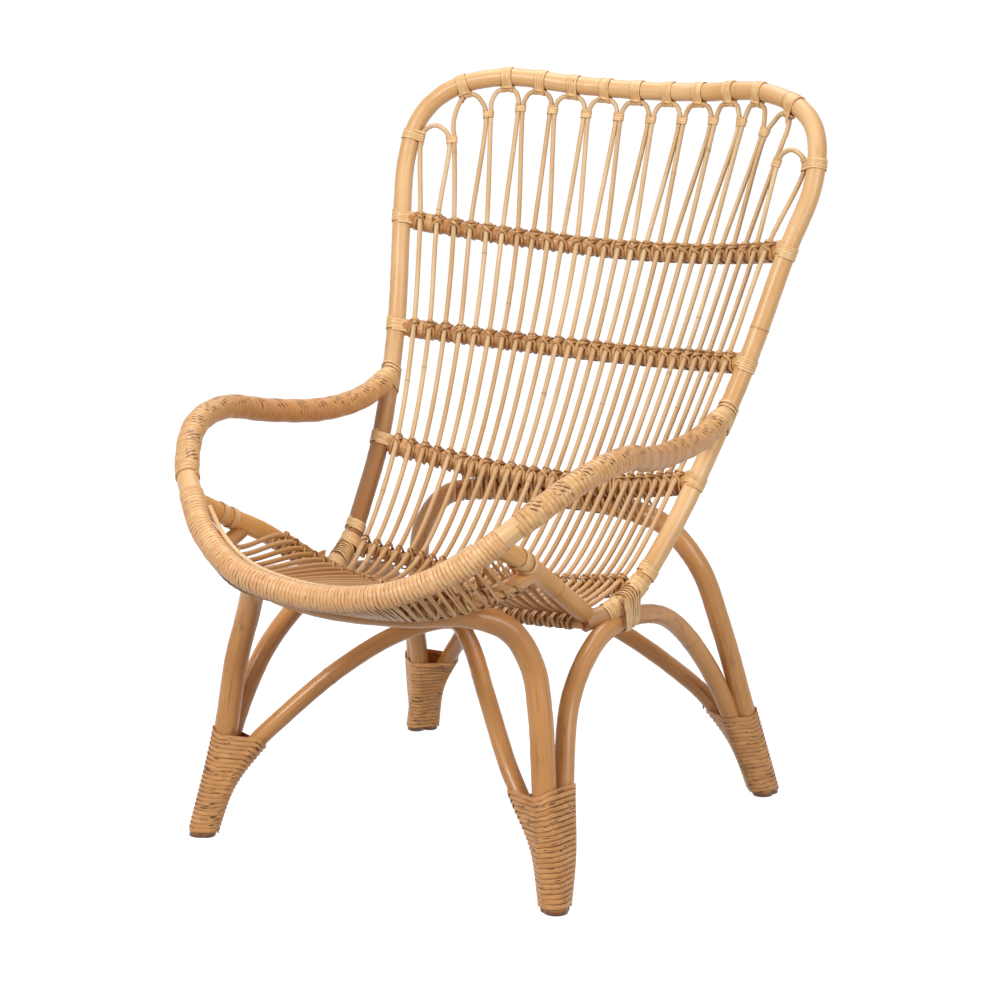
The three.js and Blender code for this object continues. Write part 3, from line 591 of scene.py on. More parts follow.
armPole = {
    "radius": 15, "jointHeight": 578, "waist": vec(281, 99, 559), "flare": vec(322, -175, 589),
    "bend": vec(268, -334, 533), "frontQuarter": vec(92, -430, 428), "front": vec(0, -430, 417),
    "waistShares": ((0.15, 0.35, -0.03), (0.66, 0.68, 0.4)), "dropShares": (0.22, 0.53, 0.2),
    "bendShares": ((0.16, 0.27, 0.27), (0.36, 0.56, 0.56), (0.585, 0.77, 0.77),
                   (0.81, 0.93, 0.92)),
    "peelThickness": 2}
frontStretch = (0.3, 0.7)  # shares of the arm line between which the front rail lies
heelStretch = 0.2  # share of the frame line within which the heel lies


def armLineFrom(v):
    return mirrored([
        frameLine.where(2, v["jointHeight"], 0, 0.4), v["waist"],
        *blend(v["waist"], v["flare"], v["waistShares"]), v["flare"],
        blend(v["flare"], v["bend"], v["dropShares"]), v["bend"],
        *blend(v["bend"], v["frontQuarter"], v["bendShares"]), v["frontQuarter"], v["front"]])


armLine = armLineFrom(armPole)

sideRail = {"radius": 13.5, "topShare": 0.294,
            "shares": ((0.13, 0.13, 0.14), (0.41, 0.49, 0.54), (0.95, 0.74, 0.77))}


def sideLineFrom(v, away):
    foot = backFrame["heel"] + up * backFrame["radius"]
    top = armLine.at(v["topShare"])
    return CaneLine(np.array([foot, *blend(foot, top, v["shares"]), top]) * (away, 1, 1))


sides = {"left": 1, "right": -1}  # which way X runs to each side
sideLines = {side: sideLineFrom(sideRail, away) for side, away in sides.items()}


# Cross rails

crossShares = (1, 0.86, 0.69, 0.5, 0.26, 0, -0.26, -0.5, -0.69, -0.86, -1)


class CrossRail:
    def __init__(self, end, bow, sag, radius):
        self.end, self.bow, self.sag, self.radius = end, bow, sag, radius
        self.line = CaneLine([self.place(share) for share in crossShares])

    def place(self, share):
        rest = 1 - share * share
        return vec(self.end[0] * share, self.end[1] + self.bow * rest,
                   self.end[2] - self.sag * rest)

    def across(self, share):
        return unit(vec(self.end[0], -2 * self.bow * share, 2 * self.sag * share))


middleRailDepth = -218
rails = {name: CrossRail(end, bow, sag, radius) for name, end, bow, sag, radius in (
    ("back_rail_upper", backFrame["upper"], 86, 33, 11),
    ("back_rail_middle", backFrame["middle"], 79, 22.5, 11),
    ("back_rail_lower", backFrame["lower"], 56, 41, 11),
    ("bend_rail", backFrame["bend"], 30, 31, 9),
    ("seat_rail_rear", backFrame["heel"], 0, 6, 9),
    ("seat_rail_middle", sideLines["left"].where(1, middleRailDepth), 0, 62, 9))}

frontSeat = {"radius": 11, "setBack": 38, "drop": 14, "endReach": 265,
             "shares": ((0.045, 0.355, 0.21), (0.16, 0.685, 0.54), (0.35, 0.89, 0.83),
                        (0.58, 0.984, 0.96))}
frontSeatMiddle = armPole["front"] + vec(0, frontSeat["setBack"], -frontSeat["drop"])
frontSeatEnd = sideLines["left"].where(1, -frontSeat["endReach"]) - up * sideRail["radius"]
frontSeatLine = mirrored([frontSeatEnd, *blend(frontSeatEnd, frontSeatMiddle, frontSeat["shares"]),
                          frontSeatMiddle])

edgeRod = {"radius": 3, "turnShare": 0.0955, "shares": (0.312, 0.36, 0.41, 0.46, 0.5)}
peelRadius = armPole["radius"] + touchGap + armPole["peelThickness"]


def edgeRodPoint(share):
    tangent = armLine.tangent(share)
    inward = unit(np.cross(tangent, up))
    out = turned(inward, unit(np.cross(inward, tangent)), edgeRod["turnShare"] * wholeTurn)[0]
    return armLine.at(share) + out * (peelRadius + touchGap + edgeRod["radius"])


edgeRodLine = mirrored([edgeRodPoint(share) for share in edgeRod["shares"]])


# Hoops

hoop = {"count": 13, "radius": 3.6, "pitch": 53.5, "tieDrop": 42, "endRise": 20,
        "crossingGap": 0.9, "seatFront": 230, "outerTieSlideShare": 0.39,
        "runShares": (0, 1, 2, 3, 4, 5.35, 7.5), "tieDropShares": (1, 1, 1, 1.1, 1.3, 1.66),
        "archShares": ((0.92, 0.52), (0.62, 0.12)), "outerArchShares": ((0.74, 0.6), (0.4, 0.2)),
        "endArchShares": ((0.14, 0.62), (0.5, 1), (0.86, 0.62))}
lastHoop = (hoop["count"] - 1) // 2
acrossStep = 0.3  # how far along a rail its direction is looked up
backNormal = unit(np.cross(rails["back_rail_upper"].place(0) - crownMiddle, vec(1, 0, 0)))
frameMiddleRun = frameLine.lengths()[-1] / 2
contactDrop = backFrame["radius"] + touchGap + hoop["radius"]


def frameAt(position):
    run = hoop["pitch"] * np.interp(abs(position), range(lastHoop + 1), hoop["runShares"])
    share = frameLine.shareAlong(frameMiddleRun - np.sign(position) * run)
    along = -frameLine.tangent(share)
    return frameLine.at(share), along, unit(np.cross(along, backNormal))


def contactAt(position):
    at, along, inward = frameAt(position)
    return at + inward * contactDrop, along, inward


def tiePoint(position, side):
    offset = side * (hoop["radius"] + touchGap / 2)
    at, along, inward = frameAt(position)
    tie = at + inward * hoop["tieDrop"] * hoop["tieDropShares"][int(abs(position))]
    if abs(position) < lastHoop - 1:
        return tie + along * offset
    end = np.sign(position)
    return (tie + along * end * hoop["tieDrop"] * hoop["outerTieSlideShare"]
            + rails["back_rail_upper"].across(end) * offset)


def archSide(number, side):
    at, along, inward = contactAt(number)
    tie = tiePoint(number + side / 2, -side)
    reach = tie - at
    outer = abs(number + side / 2) > lastHoop - 1
    arch = [at + along * (reach @ along) * a + (inward * (reach @ inward)
            + backNormal * (reach @ backNormal)) * d
            for a, d in hoop["outerArchShares" if outer else "archShares"]]
    return [tie, *arch]


def hoopTop(number):
    at = contactAt(number)[0]
    if abs(number) < lastHoop:
        return [*archSide(number, -1), at, *archSide(number, 1)[::-1]]
    inner = -int(np.sign(number))
    tie = tiePoint(number + inner / 2, -inner)
    arch = [at + (tie - at) * a + up * hoop["endRise"] * rise for a, rise in hoop["endArchShares"]]
    return [tie, *arch[::-1], at] if inner < 0 else [at, *arch, tie]


legRails = [
    (frontSeatLine, frontSeat["radius"], frontSeatEnd[0] - sideRail["radius"], "seat_rail_front"),
    *[(rails[name].line, rails[name].radius, rails[name].end[0] - backFrame["radius"], name)
      for name in ("seat_rail_middle", "seat_rail_rear", "bend_rail", "back_rail_lower",
                   "back_rail_middle", "back_rail_upper")]]
crossings = {name: [] for _, _, _, name in legRails}


def legPoints(leg, top):
    # a leg of a hoop from the front rail over the rails, and where it crosses each of them
    share = (leg - hoop["count"] + 0.5) / hoop["count"]
    front = armLine.where(0, share * hoop["seatFront"], *frontStretch)
    onRails = []
    for line, radius, halfWidth, name in legRails:
        at = line.where(0, share * halfWidth)
        across = unit(line.where(0, share * halfWidth + acrossStep) - at)
        onRails.append((at, across, radius + hoop["crossingGap"] + hoop["radius"], name))
    course = [front, *[entry[0] for entry in onRails], top]
    lifted = []
    for i, (at, across, lift, name) in enumerate(onRails):
        normal = unit(np.cross(across, unit(course[i + 2] - course[i])))
        lifted.append(at + normal * lift)
        crossings[name].append({"at": at, "across": across, "normal": normal})
    return [front, *lifted]


def hoopLineFrom(index):
    top = hoopTop(index - lastHoop)
    right = legPoints(2 * index, top[0])
    left = legPoints(2 * index + 1, top[-1])[::-1]
    return CaneLine([*right, *top, *left])


hoopLines = [hoopLineFrom(index) for index in range(hoop["count"])]


# Legs

legs = {
    "front": {"radius": 16.5, "turnShare": 0.159, "shares": (
        (0.1, -0.27, 0.365), (0.152, -0.43, 0.66), (0.205, -0.5, 0.815), (0.29, -0.29, 0.94),
        (0.43, 0.2, 1), (0.655, 0.72, 1))},
    "rear": {"radius": 15, "turnShare": 0.056, "shares": (
        (0.066, 0.44, 0.33), (0.142, 0.72, 0.61), (0.23, 0.95, 0.83), (0.4, 1.06, 0.96),
        (0.66, 1.05, 1))},
    "side": {"radius": 13.5, "depth": -18,
             "frontShares": ((0.15, 0.1, 0.2), (0.41, 0.185, 0.49), (0.76, 0.365, 0.78),
                             (0.97, 0.69, 0.96)),
             "rearShares": ((0.98, 0.6, 0.92), (0.75, 0.29, 0.65), (0.35, 0.08, 0.25))},
    "brace": {"radius": 12.3, "turnShare": 0, "shares": (
        (0.085, 0.08, 0.255), (0.23, 0.155, 0.45), (0.33, 0.23, 0.555), (0.58, 0.51, 0.8),
        (0.8, 0.8, 0.95))}}
frontFoot = vec(feet["frontHalfWidth"], -feet["reach"], 0)
rearFoot = vec(feet["rearHalfWidth"], feet["reach"], 0)


def sunkFoot(foot, nextPoint):
    return foot + unit(foot - nextPoint) * feet["sunk"]


def archFrom(foot, v, at, railRadius):
    # an arch whose top lies under a rail, or turned a little round it
    angle = v["turnShare"] * wholeTurn
    distance = railRadius + touchGap + v["radius"]
    apex = at + vec(0, math.sin(angle), -math.cos(angle)) * distance
    rise = blend(foot, apex, v["shares"])
    return mirrored([sunkFoot(foot, rise[0]), *rise, apex])


def sideArchFrom(v, away):
    top = frameLine.where(1, v["depth"], 0, heelStretch)
    apex = top - up * (backFrame["radius"] + touchGap + v["radius"])
    fore, aft = frontFoot + vec(0, feet["frontSpread"], 0), rearFoot - vec(0, feet["rearSpread"], 0)
    front, rear = blend(fore, apex, v["frontShares"]), blend(aft, apex, v["rearShares"])
    points = [sunkFoot(fore, front[0]), *front, apex, *rear, sunkFoot(aft, rear[-1])]
    return CaneLine(np.array(points) * (away, 1, 1))


def archUnder(foot, v, rail, spread=0):
    return archFrom(foot - vec(spread, 0, 0), v, rail.place(0), rail.radius)


frontArch = archFrom(frontFoot, legs["front"], frontSeatMiddle, frontSeat["radius"])
rearArch = archUnder(rearFoot, legs["rear"], rails["back_rail_lower"])
sideArches = {side: sideArchFrom(legs["side"], away) for side, away in sides.items()}
frontBrace = archUnder(frontFoot, legs["brace"], rails["seat_rail_rear"], feet["frontSpread"])
rearBrace = archUnder(rearFoot, legs["brace"], rails["bend_rail"], feet["rearSpread"])
print("centre lines worked out")


# Poles and rods made solid; a tone is how far a piece is darkened at shares of its line, which paints shade
# on the low parts of the rods and the side rails and darkens the frame towards its lower ends

plainTone = ((0, 0), (0, 1))
# darker towards the lower ends of the frame, most on the sitter's right
frameLowDarkening = ((0.6, 0.5, 0.1, 0, 0, 0.2, 0.85, 0.95, 1),
             (0, 0.06, 0.1, 0.14, 0.79, 0.82, 0.85, 0.94, 1))
# painted shade towards the foot of each side rail
sideRailLowShade = ((0.5, 0.1, 0), (0, 0.5, 1))
# painted shade on the seat part of every rod, fading up the lower back; each hoop also gets a random
# darkening
rodLowShade = ((0.75, 0.75, 0.35, 0, 0, 0.35, 0.75, 0.75), (0, 0.13, 0.2, 0.28, 0.72, 0.8, 0.87, 1))
rodTint = (0.0, 0.22, 0.06, 0.3, 0.12)
poleSizes = {"gap": 5, "sides": 20, "ringSpacing": 270, "ringWidth": 6, "ringSwell": 0.035}
rodSizes = {"gap": 5, "sides": 10, "ringSpacing": 190, "ringWidth": 4, "ringSwell": 0.12}
railSwell = 1.4


def toned(line, shares, tones, toneShares):
    return {"points": line.at(shares), "tone": np.interp(shares, toneShares, tones)}


def pole(name, line, radius, finish, node, seed, tones=plainTone, sizes=poleSizes):
    path = {**toned(line, line.evenShares(sizes["gap"]), *tones), "reach": radius * mm, "seed": seed}
    return make(name, [path], canePole, sizes, finish, [node])


pole("backFramePole", frameLine, backFrame["radius"], "honeyPole", "back_frame_pole", 0.2, frameLowDarkening)
pole("armFrontPole", armLine, armPole["radius"], "honeyPole", "arm_front_pole", 0.9)
for side, seed in (("left", 1.3), ("right", 1.8)):
    pole(f"sideRail.{side}", sideLines[side], sideRail["radius"], "honeySideRail",
         f"side_rail_{side}", seed, sideRailLowShade)
for number, (name, rail) in enumerate(rails.items()):
    back = name.startswith("back")
    pole(f"rail.{name}", rail.line, rail.radius + railSwell * back, "brownRail", name,
         2.1 + number)
pole("rail.seat_rail_front", frontSeatLine, frontSeat["radius"], "brownRail", "seat_rail_front", 9.4)
pole("frontEdgeRod", edgeRodLine, edgeRod["radius"], "strawRod", "front_edge_rod", 3.7,
     sizes=rodSizes)
for index, line in enumerate(hoopLines):
    tones = np.add(rodLowShade[0], rodTint[index % len(rodTint)])
    pole(f"hoop.{index + 1:02d}", line, hoop["radius"], "strawRod", f"hoop_{index + 1:02d}",
         0.61 * index, (tones, rodLowShade[1]), rodSizes)


def cutAtFloor(obj):
    # the pole runs a little under the floor, and is cut level there
    work = bmesh.new()
    work.from_mesh(obj.data)
    geometry = work.verts[:] + work.edges[:] + work.faces[:]
    cut = bmesh.ops.bisect_plane(work, geom=geometry, plane_co=(0, 0, 0), plane_no=(0, 0, 1),
                                 clear_inner=True)
    rim = [e for e in cut["geom_cut"] if isinstance(e, bmesh.types.BMEdge)]
    bmesh.ops.contextual_create(work, geom=rim)
    work.to_mesh(obj.data)
    work.free()


for name, line, kind, node, seed in (
        ("legArch.front", frontArch, "front", "front_leg_arch", 4.2),
        ("legArch.rear", rearArch, "rear", "rear_leg_arch", 5.1),
        ("sideArch.left", sideArches["left"], "side", "side_arch_left", 6.3),
        ("sideArch.right", sideArches["right"], "side", "side_arch_right", 6.9),
        ("brace.front", frontBrace, "brace", "front_brace_arch", 7.7),
        ("brace.rear", rearBrace, "brace", "rear_brace_arch", 8.2)):
    cutAtFloor(pole(name, line, legs[kind]["radius"], "tanLegPole", node, seed))
print("poles, rails, hoops and legs made")


# Peel on the arms and the front rail

# a sleeve's tone darkens its peel: painted shade on the long sides of the arms, and a darkening of some
# stretches of the front rail
sleeve = {"pitch": 6.2, "stripWidth": 6.8, "stripThickness": 1.6, "lift": 0.25, "steps": 28,
          "rounding": 2, "uneven": 0.9, "patchSpacing": 38, "patchBulge": 0.3, "gap": 4,
          "shares": (0.008, 0.259),
          "tone": ((0.1, 0.55, 0.95, 0.9, 0.3, 0.0), (0, 0.05, 0.1, 0.15, 0.19, 0.26))}
otherSleeve = {**sleeve, "shares": [1 - share for share in sleeve["shares"]],
               "tone": (sleeve["tone"][0][::-1], [1 - share for share in sleeve["tone"][1][::-1]])}
frontSleeve = {**sleeve, "pitch": 5.6, "stripWidth": 5.9, "patchBulge": 0.0, "lift": 0.1,
               "shares": (0.284, 0.716),
               "tone": ((0.25, 0, 0.35, 0.35, 0.1), (0.28, 0.32, 0.45, 0.62, 0.72))}
for name, v, finish, node, seed in (
        ("armPeel.left", sleeve, "armPeel", "arm_peel_left", 0.4),
        ("armPeel.right", otherSleeve, "armPeel", "arm_peel_right", 0.8),
        ("frontRailPeel", frontSleeve, "railPeel", "front_rail_peel", 1.5)):
    path = {**toned(armLine, armLine.evenShares(v["gap"], *v["shares"]), *v["tone"]),
            "seed": seed, "reach": (armPole["radius"] + v["lift"]) * mm}
    make(name, [path], peelWinding, v, finish, [node])
print("arms and front rail wound")


# Turns of peel round bundles of poles

class Bundle:
    # poles side by side along an axis; heights are measured on the axis from the origin
    def __init__(self, origin, axis, u, poles):
        self.origin, self.axis = origin, unit(axis)
        self.u = unit(u - self.axis * (u @ self.axis))
        self.v = np.cross(self.axis, self.u)
        self.poles = []
        for line, share, reach, radius in poles:
            places = line.near(share, reach) - origin
            heights, order = np.unique(places @ self.axis, return_index=True)
            self.add(heights, (places @ self.u)[order], (places @ self.v)[order], radius)

    def add(self, heights, x, y, radius):
        self.poles.append((heights, x, y, np.gradient(x, heights), np.gradient(y, heights),
                           np.broadcast_to(radius, len(x))))

    def touch(self, height, angle):
        # how far the bundle reaches in one direction, and how fast that grows as it turns
        cosine, sine = math.cos(angle), math.sin(angle)
        best = (-1e9, 0.0)
        for heights, *rows in self.poles:
            cx, cy, sx, sy, radius = (np.interp(height, heights, row) for row in rows)
            lean = sx * cosine + sy * sine
            stretch = math.hypot(1, lean)
            reach = cx * cosine + cy * sine + radius * stretch
            growth = cy * cosine - cx * sine + radius * lean * (sy * cosine - sx * sine) / stretch
            best = max(best, (reach, growth))
        return best

    def strip(self, v, low, high, seed, heightAt=None):
        # a strand from one height to the other
        count = int(v["turns"] * v["steps"])
        points, outward = [], []
        for step in range(count + 1):
            angle = wholeTurn * (step / v["steps"] + v["startTurn"])
            along = low + (high - low) * step / count
            height = heightAt(angle, along) if heightAt else along
            reach, growth = self.touch(height, angle)
            out, side = turned(self.u, self.v, angle)
            points.append(self.origin + self.axis * height + out * (reach + v["lift"])
                          + side * growth)
            outward.append(out)
        return {"points": np.array(points), "outward": np.array(outward), "seed": seed}

    def band(self, v, seed, heightAt=None):
        # a strand that fills the length of its band, half of it on each side of the origin
        half = (v["length"] - v["stripWidth"]) / 2
        return self.strip(v, -half, half, seed, heightAt)


def strips(name, paths, values, finish="palePeel", nodes=()):
    make(name, paths, peelStrip, {"rounding": 2, **values}, finish, nodes)


# Foot bindings

footWrap = {"from": 3, "stripWidth": 7.0, "stripThickness": 2.0, "reach": 215, "lift": 1.4,
            "steps": 48, "startTurn": 0.1}
footEnds = {"front": {**footWrap, "turns": 22, "height": 150, "slope": (-0.25, 0.16)},
            "rear": {**footWrap, "turns": 19.5, "height": 135, "slope": (-0.04, -0.15)}}


def footStrip(foot, v, poles, seed):
    # the turns tip inwards more and more with their height
    wrap = Bundle(foot, up, vec(1, 0, 0), poles)
    slopeX, slopeY = v["slope"][0] * np.sign(foot[0]), v["slope"][1]

    def heightAt(angle, along):
        half = (wrap.touch(along, angle)[0] + wrap.touch(along, angle + math.pi)[0]) / 2
        tip = slopeX * math.cos(angle) + slopeY * math.sin(angle)
        return along - tip * half * along / v["height"]

    half = v["stripWidth"] / 2
    return wrap.strip(v, v["from"] + half, v["height"] - half, seed, heightAt)


def wrapFeet():
    seed = 0.5
    for share, (side, away) in enumerate(sides.items()):
        for sideShare, (end, foot, arch, brace) in enumerate((
                ("front", frontFoot, frontArch, frontBrace), ("rear", rearFoot, rearArch, rearBrace))):
            v = footEnds[end]
            path = footStrip(foot * (away, 1, 1), v, [
                (arch, share, v["reach"], legs[end]["radius"]),
                (sideArches[side], sideShare, v["reach"], legs["side"]["radius"]),
                (brace, share, v["reach"], legs["brace"]["radius"])], seed)
            seed += 1.1
            strips(f"footBinding.{end}.{side}", [path], v, "footPeel",
                   [f"foot_binding_{end}_{side}"])


wrapFeet()
print("feet bound")


# Lashings under the top rail

lashing = {"turns": 4, "length": 20, "stripWidth": 4.7, "stripThickness": 1.5, "lift": 0.85,
           "steps": 32, "startTurn": 0.0, "reach": 30}
nip = {"place": 16.2, "halfLength": 10.5, "halfDepth": 8.2, "turns": 2, "steps": 24, "rise": 3,
       "stripWidth": 2.7, "stripThickness": 1.5, "alongShare": 0.6}


def nipPath(at, along, inward, seed):
    # the turns drawn tight between the rail and the hoop, across the strands of the lashing
    angles = np.linspace(0, wholeTurn * nip["turns"], nip["steps"] * nip["turns"] + 1)[:, None]
    out = np.cross(along, inward)
    rise = (angles / angles[-1] - 0.5) * nip["rise"]
    points = (at + inward * (nip["place"] + rise) + along * nip["halfLength"] * np.cos(angles)
              + out * nip["halfDepth"] * np.sin(angles))
    outward = unit(along * np.cos(angles) * nip["alongShare"] + out * np.sin(angles))
    return {"points": points, "outward": outward, "seed": seed}


def lashHoops():
    nips = []
    for index, line in enumerate(hoopLines):
        at, along, inward = frameAt(index - lastHoop)
        contact = contactAt(index - lastHoop)[0]
        wrap = Bundle(at, along, inward, [
            (frameLine, frameLine.nearest(at), lashing["reach"], backFrame["radius"]),
            (line, line.nearest(contact), lashing["reach"] / 2, hoop["radius"])])
        strips(f"hoopLashing.{index + 1:02d}", [wrap.band(lashing, index * 0.7)], lashing,
               nodes=[f"hoop_lashing_{index + 1:02d}"])
        if 0 < index < hoop["count"] - 1:
            nips.append(nipPath(at, along, inward, index * 0.9 + 0.3))
    strips("hoopNips", nips, nip)


lashHoops()

tie = {"turns": 3.4, "length": 15, "stripWidth": 4.1, "stripThickness": 1.2, "lift": 0.65,
       "steps": 24, "startTurn": 0.25, "reach": 16}


def tieHoops():
    paths = []
    for index, (first, second) in enumerate(zip(hoopLines, hoopLines[1:])):
        position = index - lastHoop + 0.5
        ends = tiePoint(position, -1), tiePoint(position, 1)
        shares = first.nearest(ends[0]), second.nearest(ends[1])
        axis = first.tangent(shares[0]) - second.tangent(shares[1])
        wrap = Bundle((ends[0] + ends[1]) / 2, axis, vec(1, 0, 0), [
            (first, shares[0], tie["reach"], hoop["radius"]),
            (second, shares[1], tie["reach"], hoop["radius"])])
        paths.append(wrap.band(tie, index * 0.83))
    strips("hoopTies", paths, tie)


tieHoops()
print("hoops lashed and tied")


# Knots where the rods cross the rails

chance = np.random.default_rng(11)
knot = {"stripWidth": 5.2, "stripThickness": 1.9, "rounding": 1, "halfWidth": 7.0, "turn": 5,
        "steps": 30, "sag": 0.0, "swell": 0.0, "loopAside": 11.5, "endAsides": (8.6, 12.6, 16.6),
        "loopSteps": 16, "lifts": (0.0, 1.7), "fullSpacing": 22, "spreads": (0.8, 1.05),
        "widths": (0.92, 1.08), "slides": (-0.6, 0.6), "loopTurn": 15, "loopSlants": (0.6, 2.2),
        "loopPlaces": (0.94, 1.06)}
backKnot = {**knot, "swell": railSwell}
knotsOf = {"seat_rail_front": {**knot, "sag": 2.0}, "seat_rail_middle": {**knot, "sag": 3.0},
           "seat_rail_rear": {**knot, "sag": 6.0}, "bend_rail": {**knot, "sag": 7.0},
           "back_rail_lower": {**backKnot, "sag": 3.0}, "back_rail_middle": backKnot,
           "back_rail_upper": backKnot}
looseFrom = {"back_rail_upper": 11, "back_rail_middle": 9, "back_rail_lower": 5}

# On the rail a stop is an angle, a share of the half width and a share of the sag. Beside, over and
# beside the rod it is a share of the lift, a rise and the way that the peel faces.
strandCourse = {
    "height": 0.3, "before": ((179, -1 / 7), (135, -0.6), (96, -1), (72, -1)),
    "over": ((0.5, 3.2, (0.7, 0.2, -0.7)), (1, 0, (1, 0.15, 0)), (0.5, -3.2, (0.7, 0, 0.7))),
    "after": ((-8, 0.94), (-45, 1), (-90, 0.86, 1), (-140, 0.4, 0.4), (-179, -1 / 7))}
capCourse = {
    "height": 0.98, "before": ((125, -0.66), (98, -0.66)),
    "over": ((0.6, 0, (0.6, 0.3, -0.8)), (0.3, -0.6, (1, 0.3, 0)), (0.6, 0, (0.6, 0.3, 0.8))),
    "after": ((98, 0.66), (125, 0.66))}


def knotShape(radius, v, course, lifted):
    # places as (out, up, aside) from the rail's middle, each with the way its peel faces
    skin = radius + v["swell"] + v["stripThickness"] / 2
    rod = radius + hoop["crossingGap"] + hoop["radius"]
    flank = hoop["radius"] + v["stripThickness"] / 2

    def onRail(angle, aside, sag=0.0):
        turn = math.radians(angle)
        way = vec(math.cos(turn), math.sin(turn), 0)
        return way * (skin + v["sag"] * sag) + up * aside * v["halfWidth"], way

    def overRod(side, lift, rise, facing):
        out = rod + flank * (side == 0) + lifted * lift
        return vec(out, course["height"] * radius + rise, flank * side), unit(vec(*facing))

    return [*[onRail(*stop) for stop in course["before"]],
            *[overRod(side, *stop) for side, stop in zip((-1, 0, 1), course["over"])],
            *[onRail(*stop) for stop in course["after"]]]


def knotStrand(crossing, v, shape, flip, width, slide):
    seed = chance.uniform(0, 9)
    places, facings = (np.array(row) for row in zip(*shape))
    line = CaneLine(places)
    shares = np.linspace(0, 1, v["steps"] + 1)
    stops = [line.nearest(place) for place in places]
    facing = np.stack([np.interp(shares, stops, row) for row in facings.T], 1)
    across, normal = crossing["across"], crossing["normal"]
    turn = math.radians(chance.uniform(-1, 1) * v["turn"])
    basis = np.array([*turned(normal, np.cross(normal, across), turn), across * flip * width])
    return {"points": crossing["at"] + line.at(shares) @ basis + across * slide,
            "outward": facing @ basis, "seed": seed, "tone": chance.uniform(0, 1)}


def knotPaths(crossing, v, shapes, spread):
    # two strands that cross over the rod, and a short one that caps it at the rail's upper edge
    width, slide = spread * chance.uniform(*v["widths"]), chance.uniform(*v["slides"])
    first = chance.choice((-1, 1))
    return [knotStrand(crossing, v, shape, flip, width, slide)
            for shape, flip in zip(shapes, (first, -first, first))]


def loopPath(crossing, radius, v, aside):
    # a plain turn round the rail on its way to the next rod
    seed, steps = chance.uniform(0, 9), v["loopSteps"]
    start = chance.uniform(-v["loopTurn"], v["loopTurn"])
    turns = np.radians(np.linspace(170, -200, steps + 1) + start)[:, None]
    across, normal = crossing["across"], crossing["normal"]
    out = turned(normal, np.cross(normal, across), turns)[0]
    slant = (np.linspace(-1, 1, steps + 1) * chance.uniform(*v["loopSlants"]))[:, None]
    points = (crossing["at"] + across * (aside * chance.uniform(*v["loopPlaces"]) + slant)
              + out * (radius + v["swell"] + v["stripThickness"] / 2))
    return {"points": points, "outward": out, "seed": seed, "tone": chance.uniform(0, 0.4)}


def knotRails():
    lastLeg = 2 * hoop["count"] - 2
    for line, radius, halfWidth, name in legRails:
        v, paths = knotsOf[name], []
        shapes = [*[knotShape(radius, v, strandCourse, lift) for lift in v["lifts"]],
                  knotShape(radius, v, capCourse, 1.0)]
        spread = np.clip(halfWidth / hoop["count"] / v["fullSpacing"], *v["spreads"])
        for number, crossing in enumerate(crossings[name]):
            paths.extend(knotPaths(crossing, v, shapes, spread))
            asides = ()
            if name in looseFrom and number in (0, lastLeg):
                asides = v["endAsides"]
            elif name in looseFrom and looseFrom[name] < number < lastLeg:
                asides = (v["loopAside"],)
            paths.extend(loopPath(crossing, radius, v, aside) for aside in asides)
        strips(f"knots.{name}", paths, v, "knotPeel")


knotRails()
print("knots tied")


# Wraps at the joints

jointTurns = {"stripWidth": 4.4, "stripThickness": 1.5, "lift": 0.85, "steps": 32,
              "startTurn": 0.3, "reach": 40}
postTurns = {**jointTurns, "turns": 5, "length": 23, "slant": 1.5, "aimShare": 0.8, "stubShare": 0.62,
             "stubs": {"back_rail_upper": 19, "back_rail_middle": 19, "back_rail_lower": 19,
                       "bend_rail": 12}}
sideTurns = {**jointTurns, "turns": 3, "length": 14, "slant": 2.0, "depths": (-281, -303)}
heelTurns = {**jointTurns, "slant": 2.0, "aim": vec(0, 0, 300)}
heelBands = [{**heelTurns, "turns": 4, "length": 20, "depth": 30},
             {**heelTurns, "turns": 6, "length": 30, "depth": -46}]
armTurns = {**jointTurns, "turns": 7, "steps": 36, "from": -19, "to": 15, "rise": 0.85, "near": 0.03,
            "postReach": 60, "low": -40, "high": 18, "narrowing": (16.6, 16.6, 14.5, 9, 3)}


def jointWrap(line, share, radius, aim, v, seed, stub=None):
    # turns round a pole and the end of another that meets it; slant tips them towards the joint
    at, axis = line.at(share), line.tangent(share)
    toward = aim - at
    toward = unit(toward - unit(axis) * (toward @ unit(axis)))
    wrap = Bundle(at, axis, toward, [(line, share, v["length"] / 2 + v["reach"], radius)])
    if stub:
        wrap.add(np.array((-999.0, 999.0)), *[np.full(2, toward @ way * stub[0])
                                              for way in (wrap.u, wrap.v)], stub[1])
    return wrap.band(v, seed, lambda angle, along: along + v["slant"] * math.cos(angle))


def armJointWrap(end, near):
    # turns over the end of an arm and the post, their plane between the two
    v, joint = armTurns, frameLine.nearest(armLine.at(end))
    post, toPost = frameLine.at(joint), unit(armLine.at(end) - armLine.at(near))
    climb = frameLine.tangent(joint)
    axis = unit(toPost + climb * np.sign(climb @ up) * v["rise"])
    wrap = Bundle(post, axis, toPost, [(frameLine, joint, v["postReach"], backFrame["radius"])])
    heights = np.linspace(v["low"], v["high"], len(v["narrowing"]))
    course = armLine.near(near, v["reach"]) - post
    course = course[np.argsort(course @ axis)]
    wrap.add(heights, *[np.interp(heights, course @ axis, course @ way) for way in (wrap.u, wrap.v)],
             v["narrowing"])
    return wrap.strip(v, v["from"], v["to"], 3.1)


